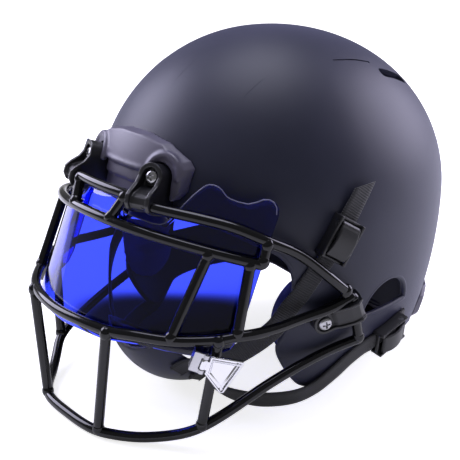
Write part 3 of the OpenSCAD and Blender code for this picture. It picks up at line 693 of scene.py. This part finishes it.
def on_spots(name, spots, shape, mat, replaces=()):
    """Stands shape, a mesh of one piece about its own origin in metres, on (point, facing, along) spots."""
    me = plain_mesh(name, [place(p) for p, _, _ in spots])
    for key, k in (("facing", 1), ("along", 2)):
        data = me.attributes.new(key, "FLOAT_VECTOR", "POINT")
        data.data.foreach_set("vector", [c for s in spots for c in s[k]])
    base = loose_object(f"{name}_shape", shape)
    ob = loose_object(name, me)
    mod = ob.modifiers.new("spots", "NODES")
    mod.node_group = SPOTS
    keys = {i.name: i.identifier for i in SPOTS.interface.items_tree if i.in_out == "INPUT"}
    mod[keys["Shape"]] = base
    mod[keys["Size"]] = 1.0
    mod[keys["Finish"]] = mat
    applied(ob)
    bpy.data.objects.remove(base)
    shade_by_angle(ob.data)
    # The tree has set the finish
    return finished(ob, None, replaces)


WELD_R, WELD_RISE, WELD_SEAT = 4.35, 5.2, 2.2


def weld_shape():
    bm = bmesh.new()
    bmesh.ops.create_uvsphere(bm, u_segments=20, v_segments=12, radius=1)
    for v in bm.verts:
        v.co = Vector((v.co.x * WELD_R, v.co.y * WELD_R, v.co.z * WELD_RISE)) * MM
    return mesh_from("weld", bm)


def make_welds():
    spots = []
    for ends in POSTS.values():
        for side in SIDES:
            p, q = side_of(ends, side)
            way = (q - p).normalized()
            for end, out in ((p, way), (q, -way)):
                spots.append((end + out * WELD_SEAT, out, out.orthogonal()))
    for side in SIDES:
        end = side_of([BROW[-1]], side)[0]
        spots.append((end, Vector((0, 0.4, 1)).normalized(), X_WAY))
    on_spots("weld_beads", spots, weld_shape(), COATING)


SCREW_PROFILE = ((0.5, -0.6), (0.5, 0.35), (0.46, 0.62), (0.36, 0.86), (0.2, 0.98))
RECESS_HALF_LEN, RECESS_HALF_W = 0.28, 0.065


def screw_shape(d, h):
    """Domed head with a bevelled brim and a cross recess."""
    m = 32
    verts = [(d * r * cos(a), d * r * sin(a), h * z) for r, z in SCREW_PROFILE for a in turns(m)]
    last = len(verts) - m
    faces = skin(len(SCREW_PROFILE), m)[:-1] + [(last + k, last + (k + 1) % m, last + m) for k in range(m)]
    head = loose_object("screw_head", plain_mesh("screw", verts + [(0, 0, h)], faces))
    a, b = d * RECESS_HALF_LEN, d * RECESS_HALF_W
    for x, y in ((a, b), (b, a)):
        recess = prism([(-x, -y), (x, -y), (x, y), (-x, y)], h * 1.1, Z_WAY * h * 0.95, X_WAY, Y_WAY)
        cut_by(head, loose_object("recess", plain_mesh("recess", *recess)))
    me = head.data
    for v in me.vertices:
        v.co *= MM
    bpy.data.objects.remove(head)
    return me


CLIP_X, CLIP_Z, CLIP_LIFT, CLIP_W = 33.0, 171.0, 15.0, 19.0
CLIP_FLOOR, SIDE_CLIP_TOP, HEAD_D, HEAD_H = -2.5, 9.0, 10.0, 3.0
SIDE_SCREW, HOOK_LEVEL, HEAD_RISE = (-27.5, 75.5), 0.26, 0.6
SIDE_CLIP_SEAT = SIDE_CLIP_TOP - 2.5
REAR_SCREW_X, REAR_SCREW_Z, REAR_OUT, REAR_HEAD_D, REAR_HEAD_H = 52, 33, 5.0, 9.0, 2.0


def front_screw_frame():
    p = end_point(CLIP_X, CLIP_Z, -1)
    n = egg_normal(p)
    return p + n * CLIP_LIFT, n, frame_at(n, Z_WAY)


def make_screws():
    p, n, (x, y) = front_screw_frame()
    q = side_point(*SIDE_SCREW)
    m = egg_normal(q)
    r = end_point(REAR_SCREW_X, REAR_SCREW_Z, 1, REAR_OUT)
    k = egg_normal(r)
    spots, rear = [], []
    for s in (1, -1):
        way = Vector((s, 1, 1))
        spots.append(((p + n * (CLIP_FLOOR + SEAT + HEAD_RISE)) * way, n * way, x * way + y * way * 0.5))
        spots.append(((q + m * (SIDE_CLIP_SEAT + SEAT + HEAD_RISE)) * way, m * way, Vector((0, 1, 0.2))))
        rear.append(((r + k * 0.5) * way, k * way, Vector((1, 0, 0.3))))
    on_spots("clip_screw_heads", spots, screw_shape(HEAD_D, HEAD_H), BRIGHT_STEEL,
             replaces=("clip_screws",))
    on_spots("rear_screw_heads", rear, screw_shape(REAR_HEAD_D, REAR_HEAD_H), DARK_STEEL,
             replaces=("rear_bumper_screws",))


# Moulded rubber and plastic

def channel_clip(at, n, x, seat, floor, rail, half_w, head_r, top, low, way):
    """Clip with two rails that arch round the screw and run on over the wire, in the frame of the screw."""
    y = n.cross(x)
    turn = [pi * (i / 20 - 0.5) for i in range(21)]
    arch = [(way * half_w * cos(a), half_w * sin(a)) for a in turn]
    arch += [(way * head_r * cos(a), head_r * sin(a)) for a in reversed(turn)]
    disc = [(half_w * cos(2 * a), half_w * sin(2 * a)) for a in turn[:-1]]
    side = half_w - head_r
    return [prism(floor, 2 * half_w, at, x, n), prism(disc, seat - low, at + n * (seat + low) / 2, x, y),
            prism(arch, top - low, at + n * (top + low) / 2, x, y)] + [
        prism(rail, side, at + y * (half_w - side / 2) * k, x, n) for k in (-1, 1)]


def front_clip_parts():
    at, n, (x, _) = front_screw_frame()
    floor = [(0, -17), (0, CLIP_FLOOR), (-6, CLIP_FLOOR), (-9, 3), (-12, 8), (-14.5, 9.8), (-18.8, 9.8), (-22, 7.6),
             (-23.2, 4.5), (-23.2, -6), (-20, -17)]
    rail = [(0.3, -17), (0.3, 2), (-5, 4.6), (-10, 9.6), (-13.5, 12), (-19, 12), (-22.8, 9.4), (-24.2, 5), (-24.2, -6),
            (-20, -17)]
    return channel_clip(at, n, x, CLIP_FLOOR, floor, rail, CLIP_W / 2, 6.4, 2, -17, 1)


def side_clip_parts():
    p = side_point(*SIDE_SCREW)
    n = egg_normal(p)
    hook = SIDE_TOP + HOOK_LEVEL * (SIDE_LOW - SIDE_TOP) - p
    x, _ = frame_at(n, hook)
    end, seat = hook.dot(x), SIDE_CLIP_SEAT
    floor = [(0, -2), (0, seat), (6, seat), (9, 9), (end - 4, 12.2), (end + 2, 12.4), (end + 5.2, 10),
             (end + 6.2, 5), (end + 6.2, -2)]
    rail = [(-0.3, -2), (-0.3, 8.6), (6, 9), (10, 11.2), (end - 4, 13.7), (end + 2.2, 13.9), (end + 6, 11.2),
            (end + 7, 5), (end + 7, -2)]
    return channel_clip(p, n, x, seat, floor, rail, 8.2, 6.1, 8.6, -2, -1)


# Lips of the front bumper round its clips, and the crease between them
LIP_HIGH, LIP_WIDE, LIP_OUT, LIP_R = 13.0, 12.2, 7.6, 2.6
CREASE_HALF, CREASE_Z, CREASE_OUT, CREASE_R = 20, 177, 7.0, 1.8


def bumper_lips():
    p, _, (x, y) = front_screw_frame()
    arch = []
    for k in range(25):
        a = radians(-100 + 200 * k / 24)
        q = p + x * (LIP_HIGH * cos(a)) + y * (LIP_WIDE * sin(a))
        arch.append(end_point(q.x, q.z, -1, LIP_OUT))
    crease = [end_point(CREASE_HALF * (k / 10 - 1), CREASE_Z, -1, CREASE_OUT) for k in range(21)]
    return [tube_data(side_of(arch, side), LIP_R, 10) for side in SIDES] + [tube_data(crease, CREASE_R, 10)]


def make_moulded():
    moulded("front_bumper_rubber", "front_bumper", RUBBER, 0.8, 12, bumper_lips())
    moulded("rear_bumper_rubber", "rear_bumper", RUBBER, 1.0, 10)
    clips = (("front_clip", front_clip_parts()), ("side_clip", side_clip_parts()))
    for side in SIDES:
        for name, parts in clips:
            parts = [(side_of(verts, side), faces) for verts, faces in parts]
            moulded(f"{name}_body_{side}", f"{name}_{side}", CLIP_BLACK, 0.42, 5, parts, core=False)
        moulded(f"visor_saddle_{side}", f"visor_clip_base_{side}", BRIGHT_STEEL, 0.3, 3)
        for row in ("upper", "lower"):
            moulded(f"{row}_buckle_frame_{side}", f"{row}_buckle_{side}", BUCKLE_BLACK, 0.35, 26)
            lever = f"{row}_lever_{side}"
            moulded(f"{row}_cam_{side}", lever, BUCKLE_BLACK, 0.35, 26, body=lever)
    moulded("chin_cup_body", "chin_cup", CUP_SHELL, 0.7, 4)


# Visor

# Edges of the sheet: across, and height on the drum
VISOR_LOW = [(0, -89), (40, -87), (62, -81.5), (76, -79.5), (88, -77), (97, -72), (101.5, -66), (VISOR_HALF_W, -58)]
VISOR_TOP = [(0, 3), (17, 3), (20, 1.8), (22, -1), (24, -3.6), (27, -4.5), (48, -4.5), (53, -3.5), (56, -1),
             (59, 5), (62, 12), (66.5, 22), (70.5, 29.2), (72.5, 31), (75, 31.6), (77.5, 31.2), (79.5, 30),
             (82, 27.4), (84, 26.4), (88, 26.2), (92, 26.8), (95, 29.6), (97, 32.4), (99, 33.6), (101, 32.8),
             (102.4, 30), (VISOR_HALF_W, 26)]
VISOR_COLUMNS, VISOR_ROWS, VISOR_BEVEL, VISOR_LIP_R = 110, 22, 0.6, 0.45


def height_at(points, x):
    for (x0, s0), (x1, s1) in zip(points, points[1:]):
        if x0 <= x <= x1:
            return s0 + (s1 - s0) * (x - x0) / max(x1 - x0, 1e-9)
    return points[-1][1]


def make_visor():
    half, rows = VISOR_COLUMNS, VISOR_ROWS
    # Columns stand closer towards the wings
    xs = [VISOR_HALF_W * sin(pi / 2 * k / half) ** 0.9 for k in range(half + 1)]
    xs = [-x for x in reversed(xs[1:])] + xs
    verts, faces = [], []
    for x in xs:
        low, top = height_at(VISOR_LOW, abs(x)), height_at(VISOR_TOP, abs(x))
        for k in range(rows + 1):
            verts.append(cage_point(x, low + (top - low) * k / rows, VISOR_R - VISOR_T / 2))
    for i in range(len(xs) - 1):
        for k in range(rows):
            a = i * (rows + 1) + k
            faces.append((a, a + rows + 1, a + rows + 2, a + 1))
    ob = loose_object("visor_sheet", build_mesh("visor_sheet", verts, faces))
    wall = ob.modifiers.new("wall", "SOLIDIFY")
    wall.thickness, wall.offset = VISOR_T * MM, 0
    bevelled(ob, VISOR_BEVEL, 60)
    shade_by_angle(closed_up(ob.data, turned=True), 50)
    finished(ob, VISOR_BLUE, ("visor",))
    # A thin lip along the top edge, its light finish a painted highlight of the edge catching light
    lip = [cage_point(x, height_at(VISOR_TOP, abs(x)), VISOR_R - 0.3) for x in xs]
    tube("visor_lip", lip, VISOR_LIP_R, VISOR_EDGE_HIGHLIGHT, sides=8)


# Visor clips: polished levers with stepped borders

HINGE_LOW, HINGE_TOP = Vector((99, -124.5, 62)), Vector((102, -120.5, 75))
HINGE_R, LEVER_TOP, LEVER_T = 2.2, 1.8, 2.4
HINGE_LEN = (HINGE_TOP - HINGE_LOW).length
# The lever's outline, and its border from the underside inwards: inset and drop below its top
LEVER_PLATE = [(2.6, -HINGE_LEN / 2 + 1), (16, -15.5), (19, -14.5), (24, 9), (23, 10.5), (2.6, HINGE_LEN / 2)]
LEVER_STEPS = ((0.0, LEVER_T), (0.0, 0.5), (0.5, 0.0), (1.3, 0.0), (1.5, 1.2), (2.4, 1.2), (2.7, 0.1), (3.2, 0.1),
               (4.2, 1.0))
BRIDGE_LEN = 3.4


def lever_frame():
    up = (HINGE_TOP - HINGE_LOW).normalized()
    out = Vector((0.8, -0.6, 0))
    back = up.cross(out).normalized()
    out = (out - out.dot(up) * up).normalized()
    return (HINGE_LOW + HINGE_TOP) / 2, back, up, out


def make_visor_levers():
    at, back, up, out = lever_frame()
    verts = [at + back * a + up * b + out * (LEVER_TOP - drop) for d, drop in LEVER_STEPS
             for a, b in (inset(LEVER_PLATE, d) if d else LEVER_PLATE)]
    plate = (verts, skin(len(LEVER_STEPS), len(LEVER_PLATE)))
    knuckle = HINGE_LEN / 4 - 0.4
    barrel = tube_data([at + up * knuckle * k for k in (-1, -0.5, 0, 0.5, 1)], HINGE_R, 20)
    bridge = prism([(0, -knuckle), (BRIDGE_LEN, -knuckle), (BRIDGE_LEN, knuckle), (0, knuckle)], LEVER_T - 0.2,
                   at + out * (LEVER_TOP - LEVER_T / 2), back, up)
    verts, faces = joined((plate, barrel, bridge))
    for side in SIDES:
        name, body = f"visor_lever_{side}", f"visor_clip_lever_{side}"
        ob = loose_object(name, solid_mesh(name, side_of(verts, side), faces, False))
        bevelled(ob, 0.25, 30)
        shade_by_angle(ob.data, 30)
        finished(ob, CHROME, (body,), body)


# Chin strap webbing

CUP_AT, CUP_TILT, CUP_DEPTH, CUP_HALF_W = Vector((0, -82, 33)), radians(-35), 25.0, 46.0
CUP_R = (CUP_HALF_W ** 2 + CUP_DEPTH ** 2) / (2 * CUP_DEPTH)


def shell_seat(y, z, g):
    p = side_point(y, z, g)
    return p, egg_normal(p)


def cup_seat(x, y, g):
    d = Vector((x, y, -sqrt(CUP_R ** 2 - x * x - y * y))).normalized()
    q = Vector((0, 0, CUP_R - CUP_DEPTH)) + d * (CUP_R + g)
    c, k = cos(CUP_TILT), sin(CUP_TILT)
    p, n = (Vector((v.x, v.y * c - v.z * k, v.y * k + v.z * c)) for v in (q, d))
    return CUP_AT + p, n


def free(p, n):
    return Vector(p), Vector(n)


UPPER_ROUTE = [shell_seat(y, z, STRAP_OFF) for y, z in (
    (5, 170.5), (-3, 160), (-12, 147.5), (-20.5, 133.5), (-28, 121), (-37, 108), (-44, 96))] + [
    (side_point(-50.5, 86, STRAP_OFF + 0.4), Vector((0.9, -0.42, 0))), free((97.5, -60, 73.5), (0.85, -0.5, 0.1)),
    free((87, -70.5, 60), (0.7, -0.7, 0.15)), free((72, -80, 47), (0.7, -0.7, 0)),
    free((57, -88, 39), (0.7, -0.65, -0.2)),
    cup_seat(43, -9.5, STRAP_OFF + 0.4), cup_seat(35, -9.5, STRAP_OFF + 0.3)]
LOWER_ROUTE = [shell_seat(y, z, STRAP_OFF) for y, z in (
    (62, 51.5), (52, 47.2), (41, 43.8), (28, 41.8), (15, 39), (3, 33))] + [
    shell_seat(-8, 24, STRAP_OFF + 0.4), (side_point(-21, 14.5, STRAP_OFF + 1.5), Vector((0.92, -0.2, -0.3))),
    free((92.5, -38, 11.5), (0.85, -0.4, -0.3)), free((81, -57, 11.5), (0.7, -0.6, -0.3)),
    free((67, -70, 14.5), (0.7, -0.45, -0.5)), free((54.5, -76, 18.5), (0.7, -0.3, -0.6)),
    cup_seat(43, 9.5, STRAP_OFF + 0.4), cup_seat(35, 9.5, STRAP_OFF + 0.3)]


def ribbon_lines(route, steps):
    """Place, way, facing and width way of a strap at each step, and its run from the tail."""
    path, faces = smooth([p for p, _ in route], steps), smooth([n for _, n in route], steps)
    lines, run = [], 0.0
    for p, last, t, n in zip(path, path[:1] + path, tangents(path), faces):
        run += (p - last).length
        n = (n - n.dot(t) * t).normalized()
        lines.append((p, t, n, n.cross(t), run))
    return lines


TAIL_RUN, TAIL_SLANT, TAIL_LIFT = 42.0, 12.0, 3.0


def ribbon_data(lines, w, t, slant=0.0, lift=0.0):
    """Strap with eased edges and a tail cut on the slant; its UV runs in metres across and along."""
    e = 0.35 * t
    ring = [(-w / 2 + e, 0), (w / 2 - e, 0), (w / 2, e), (w / 2, t - e), (w / 2 - e, t), (w / 4, t), (0, t),
            (-w / 4, t), (-w / 2 + e, t), (-w / 2, t - e), (-w / 2, e)]
    verts, uvs = [], []
    for p, d, n, v, run in lines:
        free_end = max(0.0, 1 - run / TAIL_RUN)
        for a, b in ring:
            cut = slant * (0.5 - a / w) * free_end
            verts.append(p + v * a + n * (b + lift * free_end ** 2) + d * cut)
            uvs.append((a * MM, (run + cut) * MM))
    return verts, skin(len(lines), len(ring)), uvs


def stitch_shape():
    v, f = tube_data([(-1.0, 0, 0), (-0.5, 0, 0.16), (0, 0, 0.22), (0.5, 0, 0.16), (1.0, 0, 0)], 0.24, 6)
    return closed_up(plain_mesh("stitch", [p * MM for p in v], f), turned=True)


SEAM_LEN, STITCH_STEP, STITCH_INSET = 34.0, 3.2, 1.8


def make_straps():
    spots = []
    for row, route, mat in (("upper", UPPER_ROUTE, RIBBED_WEB), ("lower", LOWER_ROUTE, PLAIN_WEB)):
        lines = ribbon_lines(route, 8)
        tail = (TAIL_SLANT, TAIL_LIFT) if row == "upper" else (0.0, 0.0)
        verts, faces, uvs = ribbon_data(lines, STRAP_W, STRAP_T, *tail)
        seam_from = lines[-1][4] - SEAM_LEN
        for side in SIDES:
            name = f"{row}_webbing_{side}"
            me = build_mesh(name, side_of(verts, side), faces, uvs)
            shade_by_angle(closed_up(me, turned=True, merged=False), 60)
            finished(loose_object(name, me), mat, (f"{row}_strap_{side}",))
            way = Vector((1 if side == "left" else -1, 1, 1))
            due = 0.0
            for p, t, n, v, run in lines:
                if run >= due and run > seam_from:
                    due = run + STITCH_STEP
                    for edge in (-1, 1):
                        q = p + n * (STRAP_T + 0.02) + v * edge * (STRAP_W / 2 - STITCH_INSET)
                        spots.append((q * way, n * way, t * way))
    on_spots("strap_stitches", spots, stitch_shape(), THREAD)


# Liner pads, blown up by cloth simulation in the space of their solids

# Channels of each pad: the axis that they cross, and where
PADS = {"crown_pad": [(0, -20), (0, 20)], "front_pad": [(0, -25), (0, 25)], "rear_pad": [(0, -27), (0, 27)],
        "nape_pad": [(0, -22), (0, 22)]}
for pad, channels in (("side_pad", [(1, 23), (1, 53)]), ("jaw_pad", [(2, 74)])):
    PADS.update({f"{pad}_{side}": channels for side in SIDES})
PAD_VOXEL, PAD_ROUNDS, PAD_CAP, PAD_PRESSURE, PAD_FRAMES = 4.5, 6, 2.5, 4, 20
CHANNEL_DEPTH, CHANNEL_HALF = 3.0, 3.2
CUP_VOXEL, CUP_ROUNDS = 1.6, 8
CHEEK_FROM, CHEEK_RUN, CHEEK_IN, CHEEK_OUT = -20.0, 30.0, 5.0, 7.5
PAD_OVER = 1.5
NUT_R, NUT_H, NUT_DROP, NUT_ROOM = 7.5, 4.0, 4.57, 1.0


def into_cavity(p):
    """Keeps a point of a pad off the shell's inner face."""
    level = egg_level(p, -SHELL_WALL - SEAT - 0.2)
    if level <= 1:
        return p
    centre = Vector((0, SHELL_Y, WIDEST_Z))
    return centre + (p - centre) / level


def blown(ob):
    """Pressure from inside for a few frames."""
    scene = bpy.context.scene
    cloth = ob.modifiers.new("cloth", "CLOTH")
    cloth.settings.use_pressure = True
    cloth.settings.uniform_pressure_force = PAD_PRESSURE
    cloth.settings.effector_weights.gravity = 0
    cloth.settings.quality = 4
    cloth.point_cache.frame_start, cloth.point_cache.frame_end = 1, PAD_FRAMES
    for f in range(1, PAD_FRAMES + 1):
        scene.frame_set(f)
    applied(ob)
    scene.frame_set(1)


def nut_pockets(node):
    """Room in a pad for the clip nuts on the shell's inner face."""
    if node == "front_pad":
        at, n, (x, y) = front_screw_frame()
        at, sides = at - n * CLIP_LIFT, SIDES
    elif node.startswith("jaw_pad"):
        at = side_point(*SIDE_SCREW)
        n = egg_normal(at)
        x, y = frame_at(n, Z_WAY)
        sides = (node.rsplit("_", 1)[1],)
    else:
        return []
    depth, r = NUT_DROP + NUT_H + NUT_ROOM, NUT_R + NUT_ROOM
    disc = [(r * cos(a), r * sin(a)) for a in turns(40)]
    verts, faces = prism(disc, depth, at - n * depth / 2, x, y)
    return [(side_of(verts, side), faces) for side in sides]


def make_pad(node, channels):
    ob = loose_object(f"{node}_cushion", closed_up(cad_mesh(node).copy()))
    softened(ob, PAD_VOXEL, PAD_ROUNDS)
    start = [v.co.copy() for v in ob.data.vertices]
    blown(ob)
    for v, s in zip(ob.data.vertices, start):
        d = v.co - s
        if d.length > PAD_CAP * MM:
            d *= PAD_CAP * MM / d.length
        v.co = s + d
    fine = ob.modifiers.new("fine", "SUBSURF")
    fine.levels = fine.render_levels = 1
    applied(ob)
    solid = cad_mesh(node)
    solid = BVHTree.FromPolygons([v.co for v in solid.vertices], [q.vertices for q in solid.polygons])
    normals = [v.normal.copy() for v in ob.data.vertices]
    for v, n in zip(ob.data.vertices, normals):
        p = v.co / MM - SHIFT
        inward = -n.dot(egg_normal(p))
        for axis, at in channels:
            off = abs(p[axis] - at) / CHANNEL_HALF
            if off < 2.5 and inward > -0.2:
                p -= n * CHANNEL_DEPTH * exp(-off * off)
        if node.startswith("jaw_pad"):
            # The cheek swells forward
            ahead = min(max((CHEEK_FROM - p.y) / CHEEK_RUN, 0.0), 1.0) ** 2
            p += Vector((copysign(CHEEK_IN, -p.x), -CHEEK_OUT, 0)) * ahead
        v.co = place(into_cavity(p))
        # No point stands further than PAD_OVER out of the solid
        near, away, _, far = solid.find_nearest(v.co)
        if far > PAD_OVER * MM and (v.co - near).dot(away) > 0:
            v.co = near + (v.co - near) * PAD_OVER * MM / far
    for verts, faces in nut_pockets(node):
        cut_by(ob, loose_object("pocket", solid_mesh("pocket", verts, faces, False)))
    shade_by_angle(ob.data, 75)
    finished(ob, LINER, (node,))


def make_liner():
    for node, channels in PADS.items():
        make_pad(node, channels)
    ob = loose_object("chin_cup_cushion", closed_up(cad_mesh("chin_cup_pad").copy()))
    softened(ob, CUP_VOXEL, CUP_ROUNDS)
    all_smooth(ob.data)
    finished(ob, CUP_SOFT, ("chin_cup_pad",))


# CAD nodes that stay as they are

for node, mat in (("clip_nuts", BRIGHT_STEEL), ("visor_clip_pins", BRIGHT_STEEL), ("buckle_pins", DARK_STEEL)):
    data = cad_mesh(node)
    data.materials.clear()
    data.materials.append(mat)


# Floor and light

def seen_rays(tree, mirrored=0.0, start=0):
    """1 on the rays that show the backdrop, straight or through the visor, and a share in reflections."""
    path = node_of(tree, "ShaderNodeLightPath")
    shine = combined(tree, "MULTIPLY", path.outputs["Is Glossy Ray"], mirrored)
    bounces = combined(tree, "SUBTRACT", path.outputs["Ray Depth"], path.outputs["Transmission Depth"])
    return combined(tree, "MAXIMUM", combined(tree, "LESS_THAN", bounces, start + 0.5), shine)


# Where shade is painted into the floor's colour and glow, under and behind the helmet: centre and half widths, in
# metres, on the floor's own axes
SHADES = (((-0.07, 0.035, 0), (0.09, 0.074, 1)), ((0.082, 0.075, 0), (0.042, 0.042, 1)))
FLOOR_GLOW, FAR_GLOW, FAR_FROM, FAR_TO, FLOOR_MIRRORED = 0.78, 0.34, 0.35, 1.1, 0.35
SHADE_FROM, SHADE_TO, SHADE_COLOUR, FLOOR_COLOUR = 0.5, 1.4, 0.02, 0.9
SKY_HIDDEN, SKY_SEEN = 0.18, 1.05
AIM = Vector((0, 0, 0.12))
# Place in metres, size, power and colour
LAMPS = {"left_box": ((-1.12, -0.5, 0.8), 1.0, 19, (0.80, 0.78, 1.0)),
         "right_box": ((0.3, 1.25, 0.6), 1.0, 14.5, (0.82, 0.78, 1.0)),
         "top_box": ((-0.2, 0.2, 1.7), 1.2, 18, (0.82, 0.82, 1.0))}


def floor_reach(tree, centre, half):
    """Distance on the floor from a centre, in half widths squared, even along a rounded square."""
    kind = "ShaderNodeVectorMath"
    off = combined(tree, "SUBTRACT", coords_of(tree), centre, kind)
    share = combined(tree, "DIVIDE", off, half, kind)
    square = combined(tree, "MULTIPLY", share, share, kind)
    return node_of(tree, kind, {0: square}, operation="LENGTH").outputs["Value"]


def lit_floor(tree, pale):
    """White floor for the camera, whiter with distance, except where the helmet's shade is painted into its colour and
    glow.
    """
    behind, under = (spread(tree, floor_reach(tree, *shade), 0.0, 1.0, SHADE_FROM, SHADE_TO, "SMOOTHSTEP")
                     for shade in SHADES)
    # The first painted shade is the dark behind the visor, so the bare floor stays pale
    behind = combined(tree, "MAXIMUM", behind, node_of(tree, "ShaderNodeLightPath").outputs["Is Camera Ray"])
    open_floor = combined(tree, "MULTIPLY", behind, under)
    glow = spread(tree, floor_reach(tree, (0, 0, 0), (1, 1, 1)), FLOOR_GLOW, FLOOR_GLOW + FAR_GLOW, FAR_FROM ** 2,
                  FAR_TO ** 2, "SMOOTHSTEP")
    glow = combined(tree, "MULTIPLY", glow, open_floor)
    # Base colour and glow both darken in the painted shade
    set_inputs(pale, {"Base Color": spread(tree, open_floor, SHADE_COLOUR, FLOOR_COLOUR, kind="SMOOTHSTEP"),
                      "Emission Strength": combined(tree, "MULTIPLY", glow, seen_rays(tree, FLOOR_MIRRORED))})


def make_stage():
    scene = bpy.context.scene
    scene.view_settings.view_transform = "Standard"
    bm = bmesh.new()
    bmesh.ops.create_grid(bm, x_segments=1, y_segments=1, size=6)
    floor = loose_object("floor", mesh_from("floor", bm))
    floor.location.z = -0.0005
    floor.rotation_euler.z = radians(45)
    mat, tree, pale = new_material("pale_floor")
    set_inputs(pale, {"Roughness": 0.9, "Specular IOR Level": 0.0, "Emission Color": (1, 1, 1, 1)})
    lit_floor(tree, pale)
    floor.data.materials.append(mat)
    world = bpy.data.worlds.new("studio")
    world.use_nodes = True
    scene.world = world
    tree = world.node_tree
    # The sky counts as one bounce further on
    set_inputs(tree.nodes["Background"], {
        "Color": (1, 1, 1, 1), "Strength": spread(tree, seen_rays(tree, start=1), SKY_HIDDEN, SKY_SEEN)})
    for name, (at, size, power, colour) in LAMPS.items():
        data = bpy.data.lights.new(name, "AREA")
        data.shape, data.size, data.energy, data.color = "DISK", size, power, colour
        lamp = loose_object(name, data)
        lamp.location = at
        lamp.rotation_mode = "QUATERNION"
        lamp.rotation_quaternion = (AIM - Vector(at)).to_track_quat("-Z", "Y")


for make in (make_camera, make_shell, make_cage, make_welds, make_screws,
             make_moulded, make_visor, make_visor_levers, make_straps, make_liner, make_stage):
    make()
